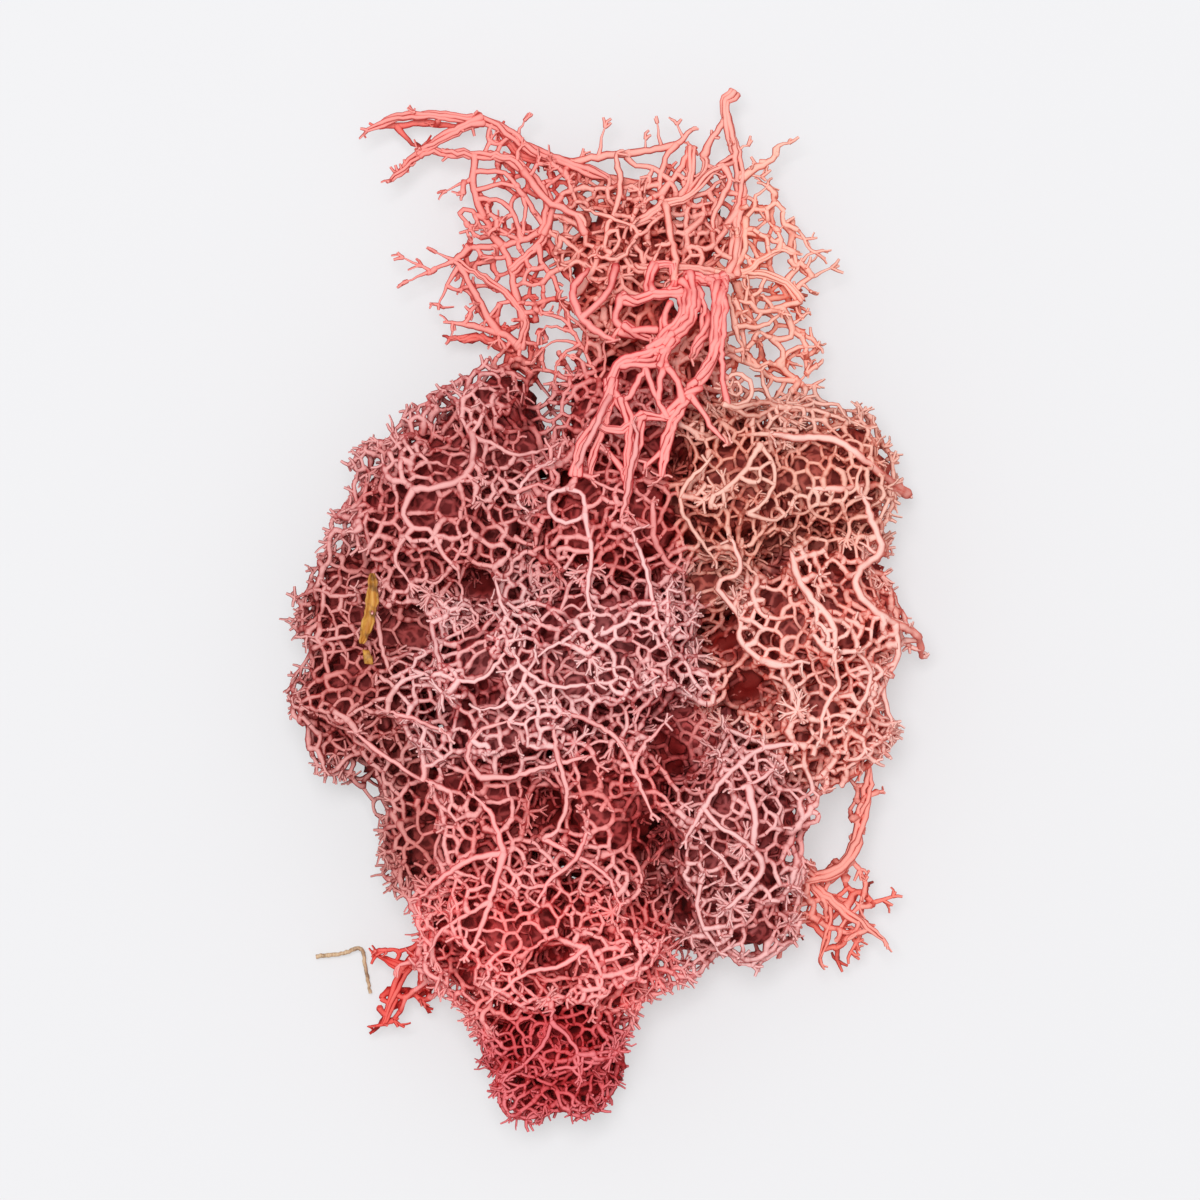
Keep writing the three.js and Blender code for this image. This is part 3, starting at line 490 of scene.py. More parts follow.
@dataclass
class Outline:
    """The tufts' outlines, as a depth below the surface of each.

    Attributes:
        tufts: The tufts.
        bulge_height: Height of the low bulges all over the clump.
        bulge_length: Their length.
        floret_height: Height of the small florets of twigs on each bulge.
        floret_length: Their width.
        fill: How far the crevices between tufts fill up.
        knobs: How many small knobs stand out of each lobe of a head.
        knob_size: Radius of the smallest and the largest knob, against that of the lobe.
        knob_reach: How far they reach from its middle, against its radius.
        pit_depth: Depth of the hollows between the heads.
        pit_levels: Height where a hollow ends, and where it is deep.
        pits: Middle, in x and y, and width of each hollow.
        limits: Lowest and highest corner of what the clump may take up.
    """

    tufts: Sequence[Tuft]
    bulge_height: float = 0.6
    bulge_length: float = 7.5
    floret_height: float = 0.95
    floret_length: float = 5.2
    fill: float = 1.1
    knobs: int = 6
    knob_size: Span = (0.22, 0.34)
    knob_reach: float = 1.08
    pit_depth: float = 3.0
    pit_levels: Span = (5.0, 9.0)
    pits: tuple[Point, ...] = (
        (5.0, -7.0, 2.1), (3.5, -14.3, 1.9), (-11.0, 5.8, 1.3), (-5.0, -13.0, 1.7), (11.5, -3.0, 1.8),
        (9.5, 1.5, 1.7), (6.0, 15.5, 1.5), (5.5, -22.0, 1.6), (-10.3, -3.0, 1.3), (14.0, 7.7, 1.4),
        (-6.0, 20.3, 1.6), (-4.5, -25.5, 1.2), (-12.5, -26.0, 1.2), (6.4, -9.8, 1.6), (4.4, -18.2, 1.6),
    )
    limits: tuple[Point, Point] = ((-28.2, -41.2, 0.3), (27.2, 49.6, 18.75))
    centres: Array = field(init=False)
    radii: Array = field(init=False)
    owners: Array = field(init=False)
    waves: Array = field(init=False)

    def __post_init__(self) -> None:
        """Gather the lobes, let knobs stand out of them, and draw the directions of the floret waves."""
        rng = np.random.default_rng(SEED)
        self.waves = np.hstack([unit(rng.normal(size=(6, 3))), rng.uniform(0, FULL_TURN, (6, 1))])
        rows = [(*lobe, i) for i, tuft in enumerate(self.tufts) for lobe in tuft.lobes]
        for x, y, z, radius, owner in rows[:]:
            if self.tufts[owner].growth is Growth.HEAD:
                for way in unit(rng.normal(size=(self.knobs, 3)) * (1, 1, 0.5)):
                    knob = rng.uniform(*self.knob_size) * radius
                    middle = np.array([x, y, z]) + way * (radius * self.knob_reach - knob)
                    rows.append((*middle, knob, owner))
        table = np.array(rows, dtype=float)
        self.centres, self.radii, self.owners = table[:, :3], table[:, 3], table[:, 4].astype(int)

    def of_growth(self, *growths: Growth) -> Array:
        """Tell of each tuft whether it grows in one of some ways."""
        return np.array([tuft.growth in growths for tuft in self.tufts])

    def flat(self, owner: Array) -> Array:
        """Tell which of some tufts, given by their numbers, keep to the sheet."""
        return self.of_growth(Growth.SPRAY, Growth.THICKET)[owner]

    def bulge(self, p: Array) -> Array:
        """Give the height of the bulges at some points."""
        k = 2 * math.pi / self.bulge_length
        x, y, z = p.T
        waves = np.sin(k * (x + 0.4 * z)) + np.sin(k * (y - 0.3 * x)) + np.sin(k * (z + 0.5 * y))
        return self.bulge_height * waves / 3

    def florets(self, p: Array) -> Array:
        """Give the height of the florets, 0 at the top of one, negative between them and in a hollow."""
        k = 2 * math.pi / self.floret_length
        swell = np.sin(k * p @ self.waves[:, :3].T + self.waves[:, 3]).sum(axis=1) / 2.4
        height = self.floret_height * (np.clip(swell, -1, 1) - 1)
        for x, y, width in self.pits:
            away = ((p[:, 0] - x) ** 2 + (p[:, 1] - y) ** 2) / width**2
            height -= self.pit_depth * np.exp(-away) * smoothstep(*self.pit_levels, p[:, 2])
        return height

    def depths(self, p: Array) -> Array:
        """Measure how deep points lie in each tuft.

        Args:
            p: Points, one a row.

        Returns:
            One row a point and one column a tuft, positive inside the tuft.
        """
        out = np.full((len(p), len(self.tufts)), OUTSIDE)
        for centre, radius, owner in zip(self.centres, self.radii, self.owners):
            depth = radius - np.linalg.norm(p - centre, axis=1)
            out[:, owner] = np.maximum(out[:, owner], depth)
        return out + self.bulge(p)[:, None]

    def merged(self, depths: Array) -> Array:
        """Give the depth in the clump as a whole, with its crevices filled."""
        top = depths.max(axis=1)
        return top + self.fill * np.log(np.exp((depths - top[:, None]) / self.fill).sum(axis=1))

    def within(self, p: Array) -> Array:
        """Tell which points lie inside the limits."""
        return ((p > self.limits[0]) & (p < self.limits[1])).all(axis=1)

    def near_skin(self, p: Array, reach: float) -> Array:
        """Tell roughly which points lie within reach of the surface, by the lobes alone."""
        depth = np.full(len(p), OUTSIDE)
        for lobe in (lobe for tuft in self.tufts for lobe in tuft.lobes):
            depth = np.maximum(depth, lobe[3] - np.linalg.norm(p - lobe[:3], axis=1))
        return np.abs(depth - 1) < reach

    def out(self, p: Array) -> Array:
        """Give the way out of the clump at some points."""
        slopes = [self.merged(self.depths(p - way)) - self.merged(self.depths(p + way))
                  for way in np.eye(3) * 0.1]
        return unit(np.stack(slopes, axis=1))


@dataclass
class Sheet:
    """The undulating sheet that the twigs of an open spray keep to.

    Attributes:
        thickness: Its thickness.
        level: Its height where it lies lowest.
        rise: By how much it rises under the bundle of stems.
        summit: Where that is, in x and y.
        spread: Half width of the rise along x and y.
        wave: Height of its waves.
    """

    thickness: float = 3.0
    level: float = 4.3
    rise: float = 4.6
    summit: Span = (5.0, 28.0)
    spread: Span = (8.4, 7.7)
    wave: float = 0.5

    def middle(self, p: Array) -> Array:
        """Give the height of its middle at some points."""
        x, y = p[:, 0], p[:, 1]
        away = ((x - self.summit[0]) / self.spread[0]) ** 2 + ((y - self.summit[1]) / self.spread[1]) ** 2
        waves = np.sin(0.57 * x + 1.0) * np.sin(0.57 * y)
        return self.level + self.rise * np.exp(-away) + self.wave * waves

    def depth(self, p: Array) -> Array:
        """Give the depth of some points below its upper side."""
        return self.middle(p) + self.thickness / 2 - p[:, 2]


@dataclass
class ForkCloud:
    """The places where twigs fork, spread evenly through the tufts.

    Attributes:
        outline: Outline that they keep to.
        sheet: Sheet that the open sprays keep to.
        layers: Depths where each layer of the net starts and ends, and the distance between forks in it.
        between: Share of the places between two layers that are used.
        underside: By how much forks are wider apart on the underside.
        open_gap: Distance between forks in an open spray.
        stem_reach: How far from a stem an open spray reaches.
        places: How many places are tried in each cubic mm.
        batch: How many places are tried at a time.
        cell: Width of the cells that the newest forks are kept by, no less than they are apart.
        patch: By how much the net is wider or closer in patches.
        patch_length: Width of these patches.
        head_reach: How near to a head an open spray may leave the sheet.
    """

    outline: Outline
    sheet: Sheet
    layers: tuple[Point, ...] = ((0.0, 0.6, 0.74), (1.0, 1.6, 0.84), (2.0, 2.7, 1.15))
    between: float = 0.1
    underside: float = 1.7
    open_gap: float = 0.95
    stem_reach: float = 1.6
    places: float = 12.0
    batch: int = 3000
    cell: float = 3.0
    patch: float = 0.2
    patch_length: float = 9.0
    head_reach: float = 0.6

    def spacing(self, p: Array, depth: Array, owner: Array) -> Array:
        """Give the distance that forks keep from one another at some points."""
        middles = [(start + end) / 2 for start, end, _ in self.layers]
        base = np.interp(depth, middles, [gap for _, _, gap in self.layers])
        low = 1 - smoothstep(3, 9, p[:, 2])
        flat = self.outline.flat(owner)
        base[flat], low[flat] = self.open_gap, 0
        share = np.array([tuft.spacing for tuft in self.outline.tufts])[owner]
        k = 2 * math.pi / self.patch_length
        patch = np.sin(k * (p[:, 0] + 0.6 * p[:, 1])) * np.sin(k * (p[:, 1] - 0.5 * p[:, 0]) + 1.0)
        return base * share * (1 + (self.underside - 1) * low) * (1 + self.patch * patch)

    def inside(self, p: Array) -> tuple[Array, Array, Array]:
        """Tell which points a twig may reach, how deep they lie, and whose they are."""
        depths = self.outline.depths(p)
        owner = depths.argmax(axis=1)
        depth = self.outline.merged(depths) + self.outline.florets(p)
        in_sheet = np.abs(self.sheet.middle(p) - p[:, 2]) < self.sheet.thickness / 2
        near_head = depths[:, self.outline.of_growth(Growth.HEAD)].max(axis=1) > -self.head_reach
        shell = (depth > 0) & (depth < self.layers[-1][1])
        open_net = (depth > 0) & (in_sheet | near_head)
        keep = self.outline.within(p) & np.where(self.outline.flat(owner), open_net, shell)
        return keep, depth, owner

    def scatter(self, seeds: Array, rng: Rng) -> Array:
        """Throw forks into the tufts, each clear of those already there.

        Args:
            seeds: Forks that are there from the start, such as those along stems.
            rng: Random numbers.

        Returns:
            All forks, the seeds first.
        """
        low, high = (np.array(corner) for corner in self.outline.limits)
        p = rng.uniform(low, high, (int(np.prod(high - low) * self.places), 3))
        p = p[self.outline.near_skin(p, 5.0)]
        keep, depth, owner = self.inside(p)
        sparse = keep & self.outline.of_growth(Growth.SPRAY)[owner]
        stems = search_tree(seeds)
        keep[sparse] = np.array([stems.find(spot)[2] < self.stem_reach for spot in p[sparse]])
        p, depth, owner = p[keep], depth[keep], owner[keep]
        gap = self.spacing(p, depth, owner)
        layered = self.outline.flat(owner)
        for start, end, _ in self.layers:
            layered |= (depth > start) & (depth < end)
        chance = np.where(layered, 1.0, self.between) * np.minimum(1, (self.layers[0][2] / gap) ** 3 * 1.4)
        drawn = rng.uniform(size=len(p)) < chance
        p, gap = p[drawn], gap[drawn]
        accepted = [tuple(seed) for seed in seeds]
        for start in range(0, len(p), self.batch):
            tree = search_tree(accepted)
            cells: dict[tuple[int, int, int], list[Point]] = {}
            for place, room in zip(p[start : start + self.batch], gap[start : start + self.batch]):
                spot = tuple(place)
                if tree.find(spot)[2] < room or self._crowded(cells, spot, room):
                    continue
                accepted.append(spot)
                cells.setdefault(tuple(int(c // self.cell) for c in spot), []).append(spot)
        return np.array(accepted)

    def _crowded(self, cells: dict[tuple[int, int, int], list[Point]], spot: Point, room: float) -> bool:
        """Tell whether a place is too near to one of the newest forks."""
        ranges = [(int(c // self.cell) - 1, int(c // self.cell), int(c // self.cell) + 1) for c in spot]
        return any(math.dist(other, spot) < room for key in product(*ranges) for other in cells.get(key, ()))


# ---- The net of twigs ----


def resample(points: Array, step: float) -> Array:
    """Lay points evenly along a smooth curve.

    Args:
        points: Points that the curve passes.
        step: Distance between the new points.

    Returns:
        The new points, the first and last where they were.
    """
    padded = np.vstack([2 * points[0] - points[1], points, 2 * points[-1] - points[-2]])
    t = np.linspace(0, 1, CURVE_STEPS, endpoint=False)[:, None]
    spans = []
    for i in range(1, len(padded) - 2):
        a, b, c, d = padded[i - 1 : i + 3]
        bend = (2 * a - 5 * b + 4 * c - d) * t**2 + (3 * b - a - 3 * c + d) * t**3
        spans.append(0.5 * (2 * b + (c - a) * t + bend))
    line = np.vstack([*spans, points[-1:]])
    along = measure(line)
    marks = np.linspace(0, along[-1], max(2, int(round(along[-1] / step)) + 1))
    return np.stack([np.interp(marks, along, line[:, axis]) for axis in range(3)], axis=1)


@dataclass(frozen=True)
class StemShape:
    """How the stems are shaped.

    Attributes:
        step: Distance between two forks on a stem.
        taper: Length over which a stem thins out, or bends, towards its end.
        thin: Share of its radius that is left at a free end.
        foot: By how much it is thicker where it joins another stem.
        foot_length: Length over which it is.
        reach: How near the skin of another stem lies that it joins.
        wobble: How far it strays from a smooth curve.
        ripple: By how much its thickness varies.
    """

    step: float = 0.9
    taper: float = 1.8
    thin: float = 0.62
    foot: float = 0.35
    foot_length: float = 1.1
    reach: float = 0.6
    wobble: float = 0.05
    ripple: float = 0.08


@dataclass
class StemForks:
    """The thick stems, and the forks that lie along them.

    Attributes:
        points: The forks.
        way: Direction of the stem at each.
        tuft: Number of the tuft that each belongs to.
        stem: Number of the stem that each lies on.
        free: Whether each is the end of a stem that stands free.
        courses: Points along each stem, twice as close as the forks.
        girths: Radius at each of them.
    """

    points: Array
    way: Array
    tuft: Array
    stem: Array
    free: Array
    courses: list[Array]
    girths: list[Array]

    @classmethod
    def along(cls, tufts: Sequence[Tuft], stems: StemRows, form: StemShape, rng: Rng) -> "StemForks":
        """Lay forks along the stems.

        Args:
            tufts: The tufts.
            stems: Rows of the stems of each tuft.
            form: How they are shaped.
            rng: Random numbers.

        Returns:
            The stems and their forks.
        """
        owners, courses, girths = [], [], []
        for tuft_number, tuft in enumerate(tufts):
            for stem in map(Stem.from_row, stems.get(tuft.node, ())):
                line = resample(stem.points, form.step / 2)
                if len(line) % 2 == 0:
                    line = np.vstack([line, 2 * line[-1] - line[-2]])
                line[1:-1] += rng.normal(size=(len(line) - 2, 3)) * form.wobble
                owners.append(tuft_number)
                courses.append(line)
                girths.append(np.linspace(*stem.radius, len(line)))
        joined = [cls._seat(i, courses, girths, form) for i in range(len(courses))]
        for i, (line, girth) in enumerate(zip(courses, girths)):
            away = np.linspace(0, form.step / 2 * (len(line) - 1), len(line))
            for end, to_end in ((0, away), (-1, away[-1] - away)):
                foot = 1 + form.foot * np.clip(1 - to_end / form.foot_length, 0, 1)
                thin = form.thin + (1 - form.thin) * smoothstep(0, form.taper, to_end)
                girth *= foot if joined[i][end] else thin
            girth *= 1 + form.ripple * np.sin(2.4 * away + i)
        points = np.vstack([line[::2] for line in courses])
        way = unit(np.vstack([np.gradient(line, axis=0)[::2] for line in courses]))
        number = np.repeat(np.arange(len(courses)), [len(line[::2]) for line in courses])
        free = np.zeros(len(points), dtype=bool)
        for i, ends in enumerate(joined):
            own = np.nonzero(number == i)[0]
            free[own[0]], free[own[-1]] = not ends[0], not ends[-1]
        return cls(points, way, np.array(owners)[number], number, free, courses, girths)

    @staticmethod
    def _seat(own: int, courses: list[Array], girths: list[Array], form: StemShape) -> list[bool]:
        """Draw the ends of a stem onto the stems that they nearly touch.

        Args:
            own: Number of the stem.
            courses: Points along each stem. Those of this one are moved.
            girths: Radius at each.
            form: How the stems are shaped.

        Returns:
            Whether the start and the end are joined to another stem.
        """
        points = np.vstack(courses[:own] + courses[own + 1 :])
        radius = np.concatenate(girths[:own] + girths[own + 1 :])
        line, joined = courses[own], []
        for end in (0, -1):
            gap = np.linalg.norm(points - line[end], axis=1) - radius
            near = int(gap.argmin())
            joined.append(bool(gap[near] < form.reach))
            if joined[-1]:
                away = np.linalg.norm(line - line[end], axis=1)
                line += (points[near] - line[end]) * np.clip(1 - away / form.taper, 0, 1)[:, None]
        return joined

    def pairs(self) -> list[tuple[int, int]]:
        """Give the pairs of forks that a stem joins, the lower number first."""
        return [(int(i), int(i) + 1) for i in np.nonzero(np.diff(self.stem) == 0)[0]]


@dataclass
class Tree:
    """A net of twigs, once it is known which twig carries which.

    Attributes:
        parent: Fork that carries each fork, or -1 for a root.
        main: Fork that goes on in the line of each, or -1 at a tip.
        load: How many forks each carries, itself included.
        loops: Pairs of forks joined by a twig that carries neither.
    """

    parent: Array
    main: Array
    load: Array
    loops: Array


@dataclass
class TwigNet:
    """The net that joins the forks.

    Attributes:
        closeness: How near a third fork may lie before it parts two neighbours.
        neighbours: How many of its nearest forks each fork looks at.
        longest: Longest twig, in fork distances.
        stem_ease: Cost of a step along a stem, against one along a twig.
        root_room: Distance between the places where twigs rise from the hearts.
    """

    closeness: float = 1.06
    neighbours: int = 14
    longest: float = 2.1
    stem_ease: float = 0.3
    root_room: float = 3.4

    def join(self, p: Array, gap: Array) -> set[tuple[int, int]]:
        """Join neighbouring forks that no third fork parts.

        Args:
            p: Forks.
            gap: Local distance between forks.

        Returns:
            Pairs of forks, the lower number first.
        """
        tree = search_tree(p)
        k = self.neighbours
        near = np.array([[hit[1] for hit in tree.find_n(q, k + 1)[1:]] for q in p])
        reach = np.linalg.norm(p[near] - p[:, None], axis=2)
        pairs: set[tuple[int, int]] = set()
        for rank in range(k):
            other, length = near[:, rank], reach[:, rank]
            joined = length < self.longest * gap
            if rank:
                far = np.linalg.norm(p[near[:, :rank]] - p[other][:, None], axis=2)
                parted = np.maximum(far, reach[:, :rank]) < (length * self.closeness)[:, None]
                joined &= ~parted.any(axis=1)
            for a, b in zip(np.nonzero(joined)[0].tolist(), other[joined].tolist()):
                pairs.add((min(a, b), max(a, b)))
        return pairs

    def roots(self, p: Array, depth: Array, fixed: int) -> list[int]:
        """Choose the forks where twigs rise from the hearts.

        Args:
            p: Forks.
            depth: Depth of each below the surface.
            fixed: Number of forks that lie on stems.

        Returns:
            Their numbers.
        """
        deep = np.nonzero(depth > np.quantile(depth[fixed:], 0.8))[0]
        return pick_apart(p, deep[deep >= fixed], self.root_room)

    def carry(self, p: Array, pairs: Sequence[tuple[int, int]], stems: StemForks, roots: list[int]) -> Tree:
        """Find the way from the roots to every fork.

        Args:
            p: Forks, those of the stems first.
            pairs: Joined forks.
            stems: The stems.
            roots: Forks where growth starts.

        Returns:
            The tree and the loops that are left.
        """
        eased = set(stems.pairs())
        links: list[list[tuple[int, float]]] = [[] for _ in p]
        for a, b in pairs:
            length = math.dist(p[a], p[b]) * (self.stem_ease if (a, b) in eased else 1.0)
            links[a].append((b, length))
            links[b].append((a, length))
        cost = np.full(len(p), np.inf)
        parent = np.full(len(p), -1)
        done = np.zeros(len(p), dtype=bool)
        order: list[int] = []
        queue = [(0.0, root) for root in sorted(set(roots))]
        cost[[root for _, root in queue]] = 0.0
        while queue:
            so_far, here = heapq.heappop(queue)
            if done[here]:
                continue
            done[here] = True
            order.append(here)
            for there, length in links[here]:
                if not done[there] and so_far + length < cost[there]:
                    cost[there] = so_far + length
                    parent[there] = here
                    heapq.heappush(queue, (cost[there], there))
        load = np.ones(len(p))
        for here in reversed(order):
            if parent[here] >= 0:
                load[parent[here]] += load[here]
        main = np.full(len(p), -1)
        for here in order:
            above = parent[here]
            if above >= 0 and (main[above] < 0 or load[here] > load[main[above]]):
                main[above] = here
        fixed = len(stems.points)
        loops = [(a, b) for a, b in pairs
                 if b >= fixed and done[a] and done[b] and a != parent[b] and b != parent[a]]
        return Tree(parent, main, load, np.array(sorted(loops), dtype=int).reshape(-1, 2))


@dataclass
class Lines:
    """Centre lines of twigs, collected as they are laid out, before the twigs get their thickness.

    Attributes:
        points: Sets of points. With each come their radii, how far they are tips, from 0 to 1, how many
            sides the twigs have there, and the numbers of the tufts whose dye they have.
        edges: Sets of pairs of points that a twig joins, with the numbers of its tufts. No point is in more
            than two pairs.
        total: How many points there are.
    """

    points: list[tuple[Array, Array, Array, Array, Array]] = field(default_factory=list)
    edges: list[tuple[Array, Array]] = field(default_factory=list)
    total: int = 0

    def add(self, points: Array, radius: Values, tip: Values, sides: Values, owner: Values) -> Array:
        """Add points.

        Args:
            points: The points.
            radius: Radius at each.
            tip: How far each is a tip.
            sides: How many sides the twig has at each.
            owner: Number of the tuft that each belongs to.

        Returns:
            The numbers of the new points.
        """
        count = len(points)
        known = (np.broadcast_to(value, count) for value in (radius, tip, sides, owner))
        self.points.append((points, *known))
        self.total += count
        return np.arange(self.total - count, self.total)

    def join(self, rows: Sequence[Array], piece: Values) -> None:
        """Join rows of points, each to the next row.

        Args:
            rows: Numbers of points. The first of one row is joined to the first of the next, and so on.
            piece: Number of the tuft that each twig belongs to.
        """
        for near, far in zip(rows, rows[1:]):
            self.edges.append((np.stack([near, far], axis=1), np.broadcast_to(piece, len(near))))


@dataclass
class Forks:
    """What is known of the forks once the net is grown, those along the stems first.

    Attributes:
        place: Where each is.
        owner: Number of the tuft that it belongs to.
        depth: Its depth below the surface.
        out: Way out of the clump there.
        sides: How many sides the twigs have there, more where they show.
        girth: Thickness of the twigs there, against that in a dense head.
        tree: Which fork carries which.
        stems: The stems.
    """

    place: Array
    owner: Array
    depth: Array
    out: Array
    sides: Array
    girth: Array
    tree: Tree
    stems: StemForks


@dataclass
class Twigs:
    """How a net is laid out as bent, tapered twigs.

    Attributes:
        tip_radius: Radius of a twig that carries nothing.
        growth: Power by which a twig thickens with what it carries.
        thickest: Radius that twigs don't pass, apart from stems.
        thickest_loop: Radius that loops don't pass.
        variety: By how much twigs differ in thickness.
        web: By how much a twig is thicker where it forks and the skin fills the corners.
        web_reach: How far the skin reaches along it.
        seat: Radius of a twig's end within the fork, against the radius there.
        heel: By how much a side twig may be thicker at its start than at its end.
        sweep: How far it leaves along the twig that carries it.
        bow: How far a twig bows sideways.
        handle: How far its bend reaches from each end, against its length.
        marks: Up to each length, where the points between a twig's ends lie.
        loop_share: Share of the loops that grow.
        sides: Sides of a twig that shows, of one under it and of one far under it.
        stem_sides: Sides of a stem, or of one of its strands.
        shortest: Length of the shortest loop.
        stout: Radius from which a stem shows the strands that it is fused from.
        strands: How many they are.
        strand_place: Their distance from its middle, against its radius.
        strand_girth: Radius of the thinnest and the thickest strand, against the stem's.
        twist: Turn of the strands in a mm, in radians.
    """

    tip_radius: float = 0.185
    growth: float = 0.12
    thickest: float = 0.4
    thickest_loop: float = 0.3145
    variety: float = 0.16
    web: float = 1.5
    web_reach: float = 0.38
    seat: float = 0.8
    heel: float = 1.15
    sweep: float = 0.5
    bow: float = 0.34
    handle: float = 0.36
    marks: tuple[tuple[float, tuple[float, ...]], ...] = (
        (0.8, (0.3, 0.7)), (1.25, (0.2, 0.5, 0.8)), (99.0, (0.13, 0.37, 0.63, 0.87)),
    )
    loop_share: float = 0.95
    sides: tuple[int, int, int] = (5, 4, 3)
    stem_sides: int = 6
    shortest: float = 0.2
    stout: float = 0.36
    strands: int = 4
    strand_place: float = 0.56
    strand_girth: Span = (0.42, 0.56)
    twist: float = 0.35

    def lay(self, lines: Lines, p: Array, ends: Pair, ways: Pair, rows: tuple[Array | None, Array | None],
            radii: Pair, marks: Sequence[float], sides: int, owner: Array) -> None:
        """Lay one bent twig between each two forks.

        Args:
            lines: Lines that get the twigs.
            p: Forks.
            ends: The forks where the twigs start and end.
            ways: Their directions there.
            rows: Numbers of the points there, or None for new points.
            radii: Their radii there, where the skin fills the corners.
            marks: Where the points between lie, from 0 to 1.
            sides: How many sides they have.
            owner: Numbers of their tufts.
        """
        tail, head = ends
        length = np.linalg.norm(p[head] - p[tail], axis=1, keepdims=True)
        near = p[tail] + ways[0] * length * self.handle
        far = p[head] - ways[1] * length * self.handle
        first, last = rows
        if first is None:
            first = lines.add(p[tail], radii[0] * self.seat, 0.0, sides, owner)
        laid = [first]
        for t in marks:
            s = 1 - t
            places = s**3 * p[tail] + 3 * s * s * t * near + 3 * s * t * t * far + t**3 * p[head]
            skin = np.clip(1 - min(s, t) * length[:, 0] / self.web_reach, 0, 1)
            radius = (radii[0] * s + radii[1] * t) * (1 + (self.web - 1) * skin) / self.web
            laid.append(lines.add(places, radius, 0.0, sides, owner))
        if last is None:
            last = lines.add(p[head], radii[1] * self.seat, 0.0, sides, owner)
        lines.join([*laid, last], owner)

    def layout(self, forks: Forks, rng: Rng) -> tuple[Lines, Array]:
        """Lay out the whole net.

        Args:
            forks: The forks.
            rng: Random numbers.

        Returns:
            The centre lines, and the radius of the twig at each fork.
        """
        p, owner, tree, stems = forks.place, forks.owner, forks.tree, forks.stems
        fixed = len(stems.points)
        radius = np.minimum(self.tip_radius * tree.load**self.growth, self.thickest)
        radius *= np.exp(rng.normal(size=len(p)) * self.variety) * forks.girth
        has_parent, has_main = tree.parent >= 0, tree.main >= 0
        way = np.zeros_like(p)
        way[has_parent] += unit(p[has_parent] - p[tree.parent[has_parent]])
        way[has_main] += unit(p[tree.main[has_main]] - p[has_main])
        way = unit(way + 1e-6)
        way[:fixed] = stems.way
        webbed = radius * self.web
        lines = Lines()
        lines.add(p, np.where(has_main, webbed, radius), np.where(has_main, 0.0, 0.5), forks.sides, owner)

        child = np.nonzero(has_parent)[0]
        above = tree.parent[child]
        in_stem = (child < fixed) & (above < fixed)
        in_stem[in_stem] = stems.stem[child[in_stem]] == stems.stem[above[in_stem]]
        onto_stem = (child < fixed) & ~in_stem
        loops = tree.loops[rng.uniform(size=len(tree.loops)) < self.loop_share]
        loops = np.vstack([loops, np.stack([above[onto_stem], child[onto_stem]], axis=1)])
        child, above = child[child >= fixed], above[child >= fixed]
        straight = unit(p[child] - p[above])
        length = np.linalg.norm(p[child] - p[above], axis=1)
        goes_on = (tree.main[above] == child) & (above >= fixed)
        for marks, sides, group in self._kinds(forks.sides[child], length):
            for onward in (True, False):
                chosen = group & (goes_on == onward)
                tail, head = above[chosen], child[chosen]
                whose = owner[head]
                bow = rng.normal(size=(len(head), 3)) * self.bow
                start = way[tail] if onward else unit(straight[chosen] + self.sweep * way[tail] + bow)
                end = np.where(has_main[head][:, None], way[head], unit(straight[chosen] - bow))
                first = tail if onward else None
                base = webbed[tail] if onward else np.minimum(webbed[head] * self.heel, webbed[tail])
                radii = (base, webbed[head])
                self.lay(lines, p, (tail, head), (start, end), (first, head), radii, marks, sides, whose)

        loops = loops[np.linalg.norm(p[loops[:, 1]] - p[loops[:, 0]], axis=1) > self.shortest]
        chord = p[loops[:, 1]] - p[loops[:, 0]]
        for marks, sides, group in self._kinds(forks.sides[loops].min(axis=1), np.linalg.norm(chord, axis=1)):
            a, b = loops[group].T
            straight = unit(chord[group])
            bow = rng.normal(size=straight.shape) * self.bow * 1.3
            thin = np.minimum(np.minimum(radius[a], radius[b]), self.thickest_loop) * self.web
            ways = (unit(straight + bow), unit(straight - bow))
            self.lay(lines, p, (a, b), ways, (None, None), (thin, thin), marks, sides, owner[b])
        firsts = np.unique(stems.stem, return_index=True)[1]
        for course, girth, number in zip(stems.courses, stems.girths, stems.tuft[firsts]):
            for line, thick in self._strands(course, girth, rng):
                ends = [line[i] + unit(line[i] - line[j]) * thick[i] * 0.4 for i, j in ((0, 1), (-1, -2))]
                line = np.vstack([ends[0], line, ends[1]])
                thick = np.concatenate([thick[:1] * 0.6, thick, thick[-1:] * 0.6])
                row = lines.add(line, thick, 0.0, self.stem_sides, number)
                lines.join([row[i : i + 1] for i in range(len(row))], number)
        return lines, radius

    def _strands(self, course: Array, girth: Array, rng: Rng) -> list[Pair]:
        """Part a stout stem into the strands that it is fused from.

        Args:
            course: Points along the stem.
            girth: Its radius at each.
            rng: Random numbers.

        Returns:
            Points along each strand and its radius at each.
        """
        if girth.mean() < self.stout:
            return [(course, girth)]
        way = unit(np.gradient(course, axis=0))
        side = unit(np.cross(way, rng.normal(size=3)))
        along = measure(course)
        strands = []
        for turn in np.arange(self.strands) * 2 * math.pi / self.strands:
            angle = (turn + self.twist * along + 0.5 * np.sin(0.9 * along + turn))[:, None]
            aside = np.cos(angle) * side + np.sin(angle) * np.cross(way, side)
            place = course + aside * girth[:, None] * self.strand_place
            strands.append((place, girth * rng.uniform(*self.strand_girth)))
        return strands

